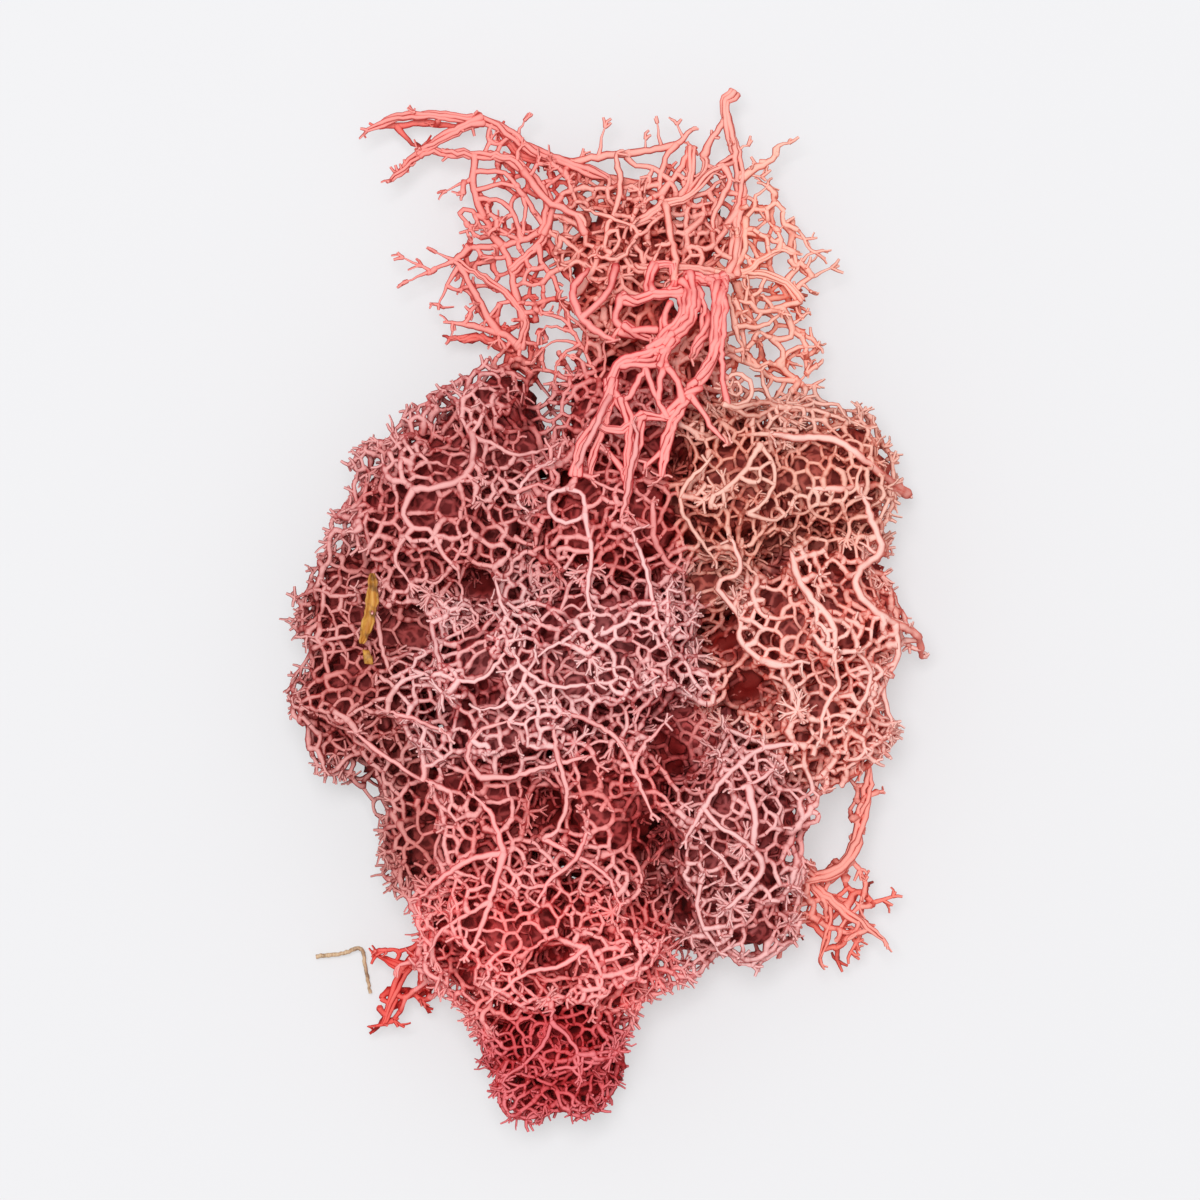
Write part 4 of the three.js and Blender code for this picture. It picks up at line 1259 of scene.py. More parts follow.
    def _kinds(self, sides: Array, length: Array) -> list[tuple[tuple[float, ...], int, Array]]:
        """Sort twigs by how finely they are drawn, with the marks, the sides and the twigs of each kind."""
        kinds = [((0.5,), self.sides[-1], sides == self.sides[-1])]
        for count in self.sides[:-1]:
            shortest = 0.0
            for longest, marks in self.marks:
                kinds.append((marks, count, (sides == count) & (length >= shortest) & (length < longest)))
                shortest = longest
        return kinds


@dataclass
class Tips:
    """The short blunt prongs that end the outer twigs.

    Attributes:
        reach: Depth within which twigs end in prongs.
        side_share: Share of the outer forks that bear prongs although they go on.
        crown_share: Share of the prongs that grow on top, against those at the rim.
        stem_share: Share of the forks on stems that bear prongs, against those on twigs.
        length: Shortest and longest prong.
        thickest: Radius of a prong where it starts.
        split: Share of the prongs that split again.
        outward: How much a prong aims out of the clump.
        onward: How much it goes on in the way of its twig.
        stray: How much it strays along x, y and z.
    """

    reach: float = 0.8
    side_share: float = 0.3
    crown_share: float = 0.1
    stem_share: float = 0.3
    length: Span = (0.45, 1.15)
    thickest: float = 0.17
    split: float = 0.4
    outward: float = 0.45
    onward: float = 0.8
    stray: Point = (0.85, 0.85, 0.5)

    def grow(self, lines: Lines, forks: Forks, radius: Array, rng: Rng) -> None:
        """Grow the prongs.

        Args:
            lines: Lines that get the prongs.
            forks: The forks.
            radius: Radius of the twig at each.
            rng: Random numbers.
        """
        p, out, tree, free = forks.place, forks.out, forks.tree, forks.stems.free
        leaf = tree.main < 0
        chance = np.where(forks.depth < self.reach, np.where(leaf, 1.0, self.side_share), leaf * 0.4)
        chance *= self.crown_share + (1 - self.crown_share) * (1 - smoothstep(0.25, 0.75, out[:, 2]))
        chance[(forks.depth > 2.4) | (tree.load < 2) & (tree.parent < 0)] = 0
        chance[: len(free)] = np.where(free, 1.0, chance[: len(free)] * self.stem_share)
        grown = np.nonzero(rng.uniform(size=len(p)) < chance)[0]
        base = np.repeat(grown, rng.integers(2, 4, len(grown)))
        onward = np.zeros_like(p)
        carried = tree.parent >= 0
        onward[carried] = unit(p[carried] - p[tree.parent[carried]])
        stray = rng.normal(size=(len(base), 3)) * self.stray
        aim = unit(self.outward * out[base] + self.onward * onward[base] + stray)
        thick = np.minimum(radius[base], self.thickest)
        start = lines.add(p[base], thick, 0.2, 4, forks.owner[base])
        middle = self._prong(lines, start, p[base], aim, thick, 4, forks.owner[base], rng)
        again = rng.uniform(size=len(base)) < self.split
        aside = unit(aim[again] + rng.normal(size=(int(again.sum()), 3)) * 0.7)
        start = lines.add(middle[again], thick[again] * 0.8, 0.6, 3, forks.owner[base][again])
        self._prong(lines, start, middle[again], aside, thick[again] * 0.9, 3, forks.owner[base][again], rng)

    def _prong(self, lines: Lines, start: Array, base: Array, aim: Array, thick: Array, sides: int,
               owner: Array, rng: Rng) -> Array:
        """Grow one bent prong from each of some points.

        Args:
            lines: Lines that get the prongs.
            start: Numbers of the points.
            base: Where they are.
            aim: The prongs' directions.
            thick: Their radii.
            sides: How many sides they have.
            owner: Numbers of their tufts.
            rng: Random numbers.

        Returns:
            The middle of each prong.
        """
        length = rng.uniform(*self.length, len(base))[:, None]
        bent = unit(aim + rng.normal(size=aim.shape) * 0.3)
        middle = base + aim * length * 0.55
        rows = [start, lines.add(middle, thick * 0.82, 0.6, sides, owner),
                lines.add(middle + bent * length * 0.45, thick * 0.66, 1.0, sides, owner)]
        lines.join(rows, owner)
        return middle


@dataclass
class Stars:
    """Open stars of fine, pale twigs that lie on top of the heads.

    Attributes:
        count: How many there are.
        room: Distance between them.
        rays: Fewest and most twigs of a star.
        reach: Shortest and longest twig.
        radius: Radius of a twig where it starts.
    """

    count: int = 30
    room: float = 5.0
    rays: tuple[int, int] = (6, 10)
    reach: Span = (1.0, 2.2)
    radius: float = 0.16

    def grow(self, lines: Lines, forks: Forks, rng: Rng) -> None:
        """Grow the stars.

        Args:
            lines: Lines that get the twigs.
            forks: The forks.
            rng: Random numbers.
        """
        out = forks.out
        open_sky = np.nonzero((forks.depth < 0.35) & (out[:, 2] > 0.35) & (forks.place[:, 2] > 8))[0]
        shuffled = rng.permutation(open_sky[open_sky >= len(forks.stems.points)])
        for i in pick_apart(forks.place, shuffled, self.room)[: self.count]:
            rays = int(rng.integers(*self.rays))
            angle = np.linspace(0, 2 * math.pi, rays, endpoint=False) + rng.normal(size=rays) * 0.25
            side = unit(np.cross(out[i], (0.3, 1.0, 0.2)))
            aim = np.cos(angle)[:, None] * side + np.sin(angle)[:, None] * np.cross(out[i], side)
            aim = unit(aim + out[i] * rng.uniform(0.1, 0.7, (rays, 1)))
            length = rng.uniform(*self.reach, rays)[:, None]
            base = np.repeat(forks.place[i][None], rays, axis=0)
            droop = -out[i] * length * 0.16
            near, far = base + aim * length * 0.5, base + aim * length * 0.85 + droop
            owner = forks.owner[i]
            ray = ((base, 1.25, 0.3), (near, 1.0, 0.75), (far, 0.8, 1.0))
            rows = [lines.add(place, self.radius * thick, tip, 4, owner) for place, thick, tip in ray]
            lines.join(rows, owner)
            for turn in (-0.55, 0.55):
                forked = unit(aim + turn * np.cross(out[i], aim) + rng.normal(size=aim.shape) * 0.15)
                tine = ((near, 0.85, 0.8), (near + forked * length * 0.42, 0.62, 1.0))
                rows = [lines.add(place, self.radius * thick, tip, 3, owner) for place, thick, tip in tine]
                lines.join(rows, owner)


# ---- From centre lines to meshes ----


@dataclass
class TubeMaker:
    """Gives centre lines their thickness, with one node modifier.

    Attributes:
        sides: The numbers of sides that twigs may have.
    """

    sides: tuple[int, ...] = (3, 4, 5, 6)

    @cached_property
    def nodes(self) -> NodeTree:
        """Build the modifier's nodes once.

        Returns:
            The node tree.
        """
        tree = bpy.data.node_groups.new("twig_thickness", "GeometryNodeTree")
        for direction in ("INPUT", "OUTPUT"):
            tree.interface.new_socket("Geometry", in_out=direction, socket_type="NodeSocketGeometry")
        lines = add_node(tree, "NodeGroupInput")
        curves = add_node(tree, "GeometryNodeMeshToCurve", inputs={"Mesh": lines.outputs[0]})
        named = "GeometryNodeInputNamedAttribute"
        radius = add_node(tree, named, {"data_type": "FLOAT"}, {"Name": "thickness"}).outputs["Attribute"]
        sides = add_node(tree, named, {"data_type": "INT"}, {"Name": "sides"}).outputs["Attribute"]
        both = add_node(tree, "GeometryNodeJoinGeometry")
        for count in self.sides:
            same = {"data_type": "INT", "operation": "EQUAL"}
            alike = add_node(tree, "FunctionNodeCompare", same, {2: sides, 3: count}).outputs["Result"]
            choice = {"Geometry": curves.outputs["Curve"], "Selection": alike}
            parted = add_node(tree, "GeometryNodeSeparateGeometry", {"domain": "CURVE"}, choice)
            circle = {"Resolution": count, "Radius": 1.0}
            ring = add_node(tree, "GeometryNodeCurvePrimitiveCircle", inputs=circle)
            sweep = {"Curve": parted.outputs["Selection"], "Profile Curve": ring.outputs["Curve"],
                     "Scale": radius, "Fill Caps": True}
            tube = add_node(tree, "GeometryNodeCurveToMesh", inputs=sweep)
            tree.links.new(tube.outputs["Mesh"], both.inputs["Geometry"])
        smooth = add_node(tree, "GeometryNodeSetShadeSmooth", inputs={"Geometry": both.outputs["Geometry"]})
        add_node(tree, "NodeGroupOutput", inputs={0: smooth.outputs["Geometry"]})
        return tree

    def mesh(self, name: str, points: Array, edges: Array, floats: dict[str, Array], sides: Array,
             colours: dict[str, Array]) -> Object:
        """Make one piece from its centre lines.

        Args:
            name: Name of the piece.
            points: Points of the lines, in mm.
            edges: Pairs of points.
            floats: Numbers at each point, by the name of their attribute.
            sides: How many sides the twig has at each point.
            colours: Linear colours at each point, by the name of their attribute.

        Returns:
            The piece, a plain mesh.
        """
        used, renumbered = np.unique(edges, return_inverse=True)
        mesh = bpy.data.meshes.new(name)
        mesh.from_pydata((points[used] * MM).tolist(), renumbered.reshape(-1, 2).tolist(), [])
        for key, values in floats.items():
            mesh.attributes.new(key, "FLOAT", "POINT").data.foreach_set("value", values[used])
        mesh.attributes.new("sides", "INT", "POINT").data.foreach_set("value", sides[used].astype(np.int32))
        for key, values in colours.items():
            opaque = np.hstack([values[used], np.ones((len(used), 1))])
            mesh.attributes.new(key, "FLOAT_COLOR", "POINT").data.foreach_set("color", opaque.ravel())
        piece = put(name, mesh)
        piece.modifiers.new("thickness", "NODES").node_group = self.nodes
        tubes = evaluated(piece)
        piece.modifiers.clear()
        piece.data = tubes
        bpy.data.meshes.remove(mesh)
        tubes.name = name
        for key in ("thickness", "sides"):
            if key in tubes.attributes:
                tubes.attributes.remove(tubes.attributes[key])
        return piece


@dataclass
class Clump:
    """The whole clump of moss.

    Attributes:
        outline, sheet, forks, net, twigs, tips, stars, tubes, stems: What it is grown with.
        shade_depth: Depths between which painted shade darkens the twigs, from none to full.
        valley: How much more painted shade lies in the valleys between the florets.
        spray_shade: How dark painted shade makes the lower twigs of a flat tuft.
    """

    outline: Outline
    sheet: Sheet
    forks: ForkCloud
    net: TwigNet = field(default_factory=TwigNet)
    twigs: Twigs = field(default_factory=Twigs)
    tips: Tips = field(default_factory=Tips)
    stars: Stars = field(default_factory=Stars)
    tubes: TubeMaker = field(default_factory=TubeMaker)
    stems: StemShape = StemShape()
    shade_depth: Span = (0.5, 2.8)
    valley: float = 0.9
    spray_shade: float = 0.95

    def grow(self) -> Lines:
        """Grow the net of twigs and lay out its centre lines.

        Returns:
            The centre lines.
        """
        rng = np.random.default_rng(SEED)
        tufts = self.outline.tufts
        stems = StemForks.along(tufts, STEMS, self.stems, rng)
        fixed = len(stems.points)
        p = self.forks.scatter(stems.points, rng)
        _, depth, owner = self.forks.inside(p)
        owner[:fixed] = stems.tuft
        pairs = self.net.join(p, self.forks.spacing(p, depth, owner))
        pairs = sorted(pairs | set(stems.pairs()))
        roots = self.net.roots(p, depth, fixed)
        first_of_stem = np.unique(stems.stem, return_index=True)[1].tolist()
        tree = self.net.carry(p, pairs, stems, roots + first_of_stem)
        p = self._relax(p, tree, pairs, fixed)
        depth = self.outline.merged(self.outline.depths(p)) + self.outline.florets(p)
        out = self.outline.out(p)
        flat = self.outline.flat(owner)
        facing = (out[:, 2] > -0.15) | (depth < 0.9) & (out[:, 2] > -0.7)
        fine = flat | (depth < 0.95) & facing
        sides = np.select([fine, facing & (depth < 1.9)], self.twigs.sides[:2], self.twigs.sides[2])
        girth = np.array([tuft.girth for tuft in tufts])[owner]
        forks = Forks(p, owner, depth, out, sides, girth, tree, stems)
        lines, radius = self.twigs.layout(forks, rng)
        self.tips.grow(lines, forks, radius, rng)
        self.stars.grow(lines, forks, rng)
        return lines

    def _relax(self, p: Array, tree: Tree, pairs: Sequence[tuple[int, int]], fixed: int) -> Array:
        """Draw each fork towards its neighbours, which rounds the holes, and the thicker twigs straight.

        Args:
            p: Forks.
            tree: The tree.
            pairs: Joined forks.
            fixed: Number of forks that lie on stems.

        Returns:
            The moved forks.
        """
        p = p.copy()
        a, b = np.array(pairs).T
        degree = np.bincount(np.concatenate([a, b]), minlength=len(p))
        free = degree > 1
        free[:fixed] = False
        both = (tree.parent >= 0) & (tree.main >= 0)
        both[:fixed] = False
        share = np.clip(0.12 * np.log(tree.load[both]), 0, 0.5)[:, None]
        for _ in range(3):
            total = np.zeros_like(p)
            np.add.at(total, a, p[b])
            np.add.at(total, b, p[a])
            p[free] += 0.3 * (total[free] / degree[free, None] - p[free])
            middle = (p[tree.parent[both]] + p[tree.main[both]]) / 2
            p[both] += share * (middle - p[both])
        return p

    def _painted_shade(self, points: Array, depths: Array, owner: Array, stout: Array) -> Array:
        """Tell how much painted shade darkens each point, from 0 in the open to 1 deep inside.

        Args:
            points: The points.
            depths: Their depths in each tuft.
            owner: Number of the tuft that each belongs to.
            stout: Whether each lies on a thick stem.

        Returns:
            The darkness.
        """
        # Painted shade: twigs darken deeper in the clump, more in the valleys between the florets, and low in
        # the sheet of a flat tuft. The thick stems of the bundle darken less.
        hollow = -self.outline.florets(points)
        painted_shade = smoothstep(*self.shade_depth, self.outline.merged(depths) - hollow + self.valley * hollow)
        flat = self.outline.flat(owner)
        below = self.sheet.depth(points[flat])
        painted_shade[flat] = self.spray_shade * smoothstep(0.8, self.sheet.thickness, below)
        painted_shade[stout & self.outline.of_growth(Growth.BUNDLE)[owner]] *= 0.3
        return painted_shade

    def build(self) -> list[Object]:
        """Make one piece for each tuft.

        Returns:
            The pieces, in the order of the tufts.
        """
        lines = self.grow()
        points, radius, tip, sides, owner = map(np.concatenate, zip(*lines.points))
        edges, piece = map(np.concatenate, zip(*lines.edges))
        low, high = (np.array(corner) for corner in self.outline.limits)
        points = np.clip(points, low - 0.2 + radius[:, None], high + 0.2 - radius[:, None])
        depths = self.outline.depths(points)
        weight = np.exp((depths - depths.max(axis=1, keepdims=True)) / 0.9)
        weight /= weight.sum(axis=1, keepdims=True)
        stout = sides == self.twigs.stem_sides
        own = np.where(stout, 0.85, 0.4)[:, None]
        colours = {}
        for key in ("twig", "tip"):
            table = np.array([linear(getattr(tuft, key))[:3] for tuft in self.outline.tufts])
            colours["dye_" + key] = own * table[owner] + (1 - own) * (weight @ table)
        painted_shade = self._painted_shade(points, depths, owner, stout)
        floats = {"thickness": radius * MM, "tip": tip, "painted_shade": painted_shade}
        pieces = []
        for number, tuft in enumerate(self.outline.tufts):
            name = "twigs_" + tuft.node
            pieces.append(self.tubes.mesh(name, points, edges[piece == number], floats, sides, colours))
        return pieces


# ---- What lies in the clump ----


@dataclass
class Hearts:
    """The hearts of the dense heads, matted old twigs that also stand in for the shade deep inside.

    Attributes:
        outline: Outline of the tufts.
        sheet: Sheet of the flat tufts, which a heart stays under.
        depth: How far a heart lies below the outline, at its foot and at its top.
        above: Height of its underside.
        smallest: Radius of its smallest ball.
        step: Distance between the places tried for the balls.
        apart: How far apart two balls lie, against the radius of the larger.
        grain: Size of the faces that fuse the balls.
        lump: Height of the lumps on a heart.
        lump_width: Their width.
        hollow_shade: By how much the painted shade is deeper at the bottom of a hollow.
    """

    outline: Outline
    sheet: Sheet
    depth: Span = (0.6, 2.5)
    above: float = 1.2
    smallest: float = 0.6
    step: float = 1.35
    apart: float = 0.5
    grain: float = 0.6
    lump: float = 0.5
    lump_width: float = 0.9
    hollow_shade: float = 2.6

    def balls(self) -> list[tuple[Point, float, int]]:
        """Find the balls that fill the heads.

        Returns:
            The middle and the radius of each, and the number of its tuft.
        """
        low, high = self.outline.limits
        grid = np.stack(np.meshgrid(*(np.arange(a, b, self.step) for a, b in zip(low, high))), axis=-1)
        grid = grid.reshape(-1, 3)
        depths = self.outline.depths(grid)
        depths[:, self.outline.of_growth(Growth.SPRAY)] = OUTSIDE
        hollow = -self.outline.florets(grid)
        height = grid[:, 2]
        below = self.depth[0] + (self.depth[1] - self.depth[0]) * smoothstep(4.5, 10, height)
        below += hollow * smoothstep(2.5, 6, height)
        size = np.minimum(self.outline.merged(depths) - below, grid[:, 2] - self.above)
        flat = self.outline.of_growth(Growth.THICKET)[depths.argmax(axis=1)]
        size[flat] = np.minimum(size, self.sheet.depth(grid) - self.sheet.thickness)[flat]
        found: list[tuple[Point, float, int]] = []
        open_to = size >= self.smallest
        for i in np.argsort(-size, kind="stable")[: int(open_to.sum())]:
            if open_to[i]:
                found.append((tuple(grid[i]), float(size[i]), int(depths[i].argmax())))
                open_to &= np.linalg.norm(grid - grid[i], axis=1) > self.apart * size[i]
        return found

    def add_to(self, piece: Object, tuft: Tuft, balls: Iterable[tuple[Point, float]]) -> None:
        """Fuse the balls of one tuft, make them lumpy, and add them to its piece.

        Args:
            piece: Piece that stands for the tuft.
            tuft: The tuft.
            balls: Middle and radius of each ball.
        """
        shape = bmesh.new()
        for place, radius in balls:
            ball = bmesh.ops.create_icosphere(shape, subdivisions=1, radius=radius * MM)["verts"]
            bmesh.ops.translate(shape, verts=ball, vec=Vector(place) * MM)
        heart = put("heart", bpy.data.meshes.new("heart"))
        shape.to_mesh(heart.data)
        shape.clear()
        fusing = heart.modifiers.new("fusing", "REMESH")
        fusing.mode = "VOXEL"
        fusing.voxel_size = self.grain * MM
        fused = evaluated(heart)
        bpy.data.objects.remove(heart)
        shape.from_mesh(piece.data)
        first = len(shape.verts)
        shape.from_mesh(fused)
        shape.verts.ensure_lookup_table()
        shape.normal_update()
        painted_shade = shape.verts.layers.float["painted_shade"]
        colours = shape.verts.layers.float_color
        layers = [(colours["dye_" + key], linear(getattr(tuft, key))) for key in ("twig", "tip")]
        hollow = -self.outline.florets(np.array([vert.co for vert in shape.verts[first:]]) / MM)
        # Painted shade: a heart is at least as dark as the deepest twigs, and darker still at the bottom of a
        # hollow.
        deep = 1 + self.hollow_shade * smoothstep(1.8, 3.4, hollow)
        for vert, dark in zip(shape.verts[first:], deep):
            height = noise.turbulence(vert.co / (self.lump_width * MM), 2, True)
            vert.co += vert.normal * (height - 0.7) * 2 * self.lump * MM
            vert[painted_shade] = dark
            for layer, colour in layers:
                vert[layer] = colour
            for face in vert.link_faces:
                face.smooth = True
        shape.to_mesh(piece.data)
        shape.free()
        bpy.data.meshes.remove(fused)


@dataclass
class LeafScrap:
    """A narrow strip of dry leaf, curled along its length, with a torn curl below it.

    Attributes:
        length: Length of the strip.
        width: Width at its widest.
        thickness: Thickness of the leaf.
        curl: Height of the edges over the midrib, as a share of the width.
        droop: How far both ends hang.
        place: Middle of the strip.
        turn: Turn about the vertical, in radians.
    """

    length: float = 6.0
    width: float = 0.85
    thickness: float = 0.14
    curl: float = 0.4
    droop: float = 0.6
    place: Point = (-19.9, 3.5, 12.75)
    turn: float = -0.12

    def build(self) -> Object:
        """Build the scrap.

        Returns:
            The piece.
        """
        shape = bmesh.new()
        bmesh.ops.create_grid(shape, x_segments=8, y_segments=36, size=0.5)
        rng = np.random.default_rng(SEED + 1)
        phase = rng.uniform(0, FULL_TURN, 3)
        for vert in shape.verts:
            across, along = vert.co.x * 2, vert.co.y * 2
            torn = 0.12 * math.sin(9 * along + phase[0]) + 0.1 * math.sin(23 * along + phase[1])
            half = self.width / 2 * (1 - abs(along) ** 2.6) ** 0.5 + 0.06
            x = across * half * (1 + torn) + 0.35 * math.sin(1.6 * along + phase[2])
            rise = self.curl * self.width * across**2 - self.droop * along**2
            ripple = 0.09 * math.sin(14 * along + 3 * across) * abs(across)
            vert.co = Vector((x, along * self.length / 2, rise + ripple))
        for _ in range(2):
            bmesh.ops.smooth_vert(shape, verts=shape.verts, factor=0.3, use_axis_x=True, use_axis_y=True)
        self._add_curl(shape)
        turn = Matrix.Rotation(self.turn, 4, "Z")
        bmesh.ops.transform(shape, matrix=Matrix.Scale(MM, 4) @ Matrix.Translation(self.place) @ turn,
                            verts=shape.verts)
        bmesh.ops.recalc_face_normals(shape, faces=shape.faces)
        mesh = bpy.data.meshes.new("leaf_scrap")
        shape.to_mesh(mesh)
        shape.free()
        mesh.shade_smooth()
        piece = put("leaf_scrap", mesh)
        wall = piece.modifiers.new("leaf_thickness", "SOLIDIFY")
        wall.thickness = self.thickness * MM
        wall.offset = 0
        return piece

    def _add_curl(self, shape: bmesh.types.BMesh) -> None:
        """Add the torn end, which is rolled up."""
        strip = bmesh.ops.create_grid(shape, x_segments=4, y_segments=26, size=0.5)["verts"]
        for vert in strip:
            across, along = vert.co.x * 2, vert.co.y + 0.5
            angle = along * 7.4
            radius = 0.75 - 0.55 * along
            vert.co = Vector((
                0.5 + 0.4 * across * (1 - 0.5 * along) + 0.2 * math.sin(angle),
                -self.length / 2 - 0.9 - radius * math.sin(angle),
                -0.8 + radius * (1 - math.cos(angle)) * 0.7,
            ))


@dataclass
class DryStraw:
    """A thin dry straw, kinked where it was bent.

    Attributes:
        points: Points that it passes.
        radius: Radius at its start and its end.
    """

    points: tuple[Point, ...] = (
        (-24.6, -26.1, 0.6), (-22.4, -25.8, 0.9), (-20.8, -25.4, 1.0), (-20.4, -27.0, 0.8),
        (-20.0, -29.2, 0.5),
    )
    radius: Span = (0.2, 0.15)

    def build(self, tubes: TubeMaker) -> Object:
        """Build the straw.

        Args:
            tubes: Maker of the straw's tube.

        Returns:
            The piece.
        """
        rng = np.random.default_rng(SEED + 2)
        line = resample(np.array(self.points), 0.22)
        line[1:-1] += rng.normal(size=(len(line) - 2, 3)) * 0.025
        count = len(line)
        radius = np.linspace(self.radius[0], self.radius[1], count) * rng.uniform(0.88, 1.12, count)
        edges = np.stack([np.arange(count - 1), np.arange(1, count)], axis=1)
        return tubes.mesh("straw", line, edges, {"thickness": radius * MM}, np.full(count, 6), {})


# ---- Finishes ----


@dataclass(frozen=True)
class DyedLichen:
    """Preserved reindeer moss, dyed: dull and dry, with a fine mealy surface and paler tips.

    Attributes:
        roughness: Roughness of the dry skin.
        mottle_mm: Width of the patches where the dye took more or less.
        meal_mm: Width of the grains of meal, drawn a little coarser than they are.
        side_shade: By how much painted shade deepens the colour on a twig's sides.
        depth: By how much painted shade deepens it far inside the clump.
        crest_highlight: How pale the painted highlight on up-facing crests is, from the twig's colour to the
            tip's.
        old_net_mm: Width of the holes between the old twigs that a heart is matted from.
        old_twig_shade: What painted shade leaves of the colour on these twigs.
        old_hole_shade: What painted shade leaves of it in the holes between them.
        gloss: Strength of its faint shine.
    """

    roughness: float = 0.85
    mottle_mm: float = 2.4
    meal_mm: float = 0.22
    side_shade: float = 0.5
    depth: float = 0.7
    crest_highlight: float = 1.0
    old_net_mm: float = 1.15
    old_twig_shade: Colour = (0.66, 0.38, 0.4, 1.0)
    old_hole_shade: Colour = (0.25, 0.09, 0.1, 1.0)
    gloss: float = 0.2

    def material(self) -> Material:
        """Build the material.

        Returns:
            The material.
        """
        # Dull dyed lichen with paler tips. Painted highlight: up-facing crests are paled towards the tip
        # colour.
        # Painted shade: twig sides and twigs deep inside the clump are darkened, in place of their shade and
        # of light bounced among the twigs.
        material, tree = new_material("dyed_reindeer_moss")
        place = add_node(tree, "ShaderNodeTexCoord").outputs["Object"]
        blend, spread, sums = "ShaderNodeMix", "ShaderNodeMapRange", "ShaderNodeMath"
        mix = {"data_type": "RGBA", "blend_type": "MIX"}
        multiply = {"data_type": "RGBA", "blend_type": "MULTIPLY"}
        dye, pale, tip, painted_shade = (
            add_node(tree, "ShaderNodeAttribute", {"attribute_name": name}).outputs[socket]
            for name, socket in zip(("dye_twig", "dye_tip", "tip", "painted_shade"), ("Color", "Color", "Fac", "Fac"))
        )
        patches = {"Vector": place, "Scale": 1 / (self.mottle_mm * MM), "Detail": 3.0}
        mottle = add_node(tree, "ShaderNodeTexNoise", inputs=patches).outputs["Fac"]
        taken = {"Value": mottle, "From Min": 0.3, "From Max": 0.7, "To Min": 0.82, "To Max": 1.15}
        patchy = add_node(tree, spread, inputs=taken).outputs[0]
        dyed = add_node(tree, blend, multiply, {0: 1.0, 6: dye, 7: patchy})
        normal = add_node(tree, "ShaderNodeNewGeometry").outputs["Normal"]
        upward = add_node(tree, "ShaderNodeSeparateXYZ", inputs={"Vector": normal}).outputs["Z"]
        # Painted highlight: faces that point up are paled towards the tip colour.
        level = {"Value": upward, "From Min": 0.35, "From Max": 0.95, "To Min": 0.0, "To Max": self.crest_highlight}
        painted_highlight = add_node(tree, spread, inputs=level).outputs[0]
        highlighted = add_node(tree, blend, mix, {0: painted_highlight, 6: dyed.outputs[2], 7: pale})
        bleached = add_node(tree, sums, {"operation": "MULTIPLY"}, {0: tip, 1: 0.7}).outputs[0]
        tipped = add_node(tree, blend, mix, {0: bleached, 6: highlighted.outputs[2], 7: pale})
        # Painted shade: the colour deepens on faces that turn away from up, the sides of each twig.
        steep = {"Value": upward, "From Min": 0.8, "From Max": -0.2, "To Min": 1.0, "To Max": 1 + self.side_shade}
        side_shading = add_node(tree, spread, inputs=steep).outputs[0]
        # Painted shade deep inside: the shade painted on the points raises the gamma too, which darkens and
        # deepens the colour.
        added = {0: painted_shade, 1: self.depth, 2: side_shading}
        shade_gamma = add_node(tree, sums, {"operation": "MULTIPLY_ADD"}, added).outputs[0]
        shaded = add_node(tree, "ShaderNodeGamma", inputs={"Color": tipped.outputs[2], "Gamma": shade_gamma})
        # Painted shade on the hearts and the deepest twigs: a net of darkened old twigs with darker holes,
        # which close up where the shade is deepest.
        cells = {"Vector": place, "Scale": 1 / (self.old_net_mm * MM), "Randomness": 1.0}
        rim = add_node(tree, "ShaderNodeTexVoronoi", {"feature": "DISTANCE_TO_EDGE"}, cells)
        edge = {"Value": rim.outputs["Distance"], "From Min": 0.06, "From Max": 0.2}
        opening = add_node(tree, spread, inputs=edge).outputs[0]
        sunk = add_node(tree, spread, inputs={"Value": painted_shade, "From Min": 1.0, "From Max": 3.0}).outputs[0]
        closed = add_node(tree, sums, {"operation": "MAXIMUM"}, {0: opening, 1: sunk}).outputs[0]
        matted = add_node(tree, blend, mix, {0: closed, 6: self.old_twig_shade, 7: self.old_hole_shade}).outputs[2]
        deepest = add_node(tree, spread, inputs={"Value": painted_shade, "From Min": 0.7, "From Max": 1.0}).outputs[0]
        heart_shaded = add_node(tree, blend, multiply, {0: deepest, 6: shaded.outputs["Color"], 7: matted})
        grains = {"Vector": place, "Scale": 1 / (self.meal_mm * MM), "Detail": 2.0}
        meal = add_node(tree, "ShaderNodeTexNoise", inputs=grains).outputs["Fac"]
        relief = {"Strength": 0.4, "Distance": 0.05 * MM, "Height": meal}
        bump = add_node(tree, "ShaderNodeBump", inputs=relief).outputs["Normal"]
        finish(tree, {"Base Color": heart_shaded.outputs[2], "Roughness": self.roughness,
                      "Specular IOR Level": self.gloss, "Normal": bump})
        return material


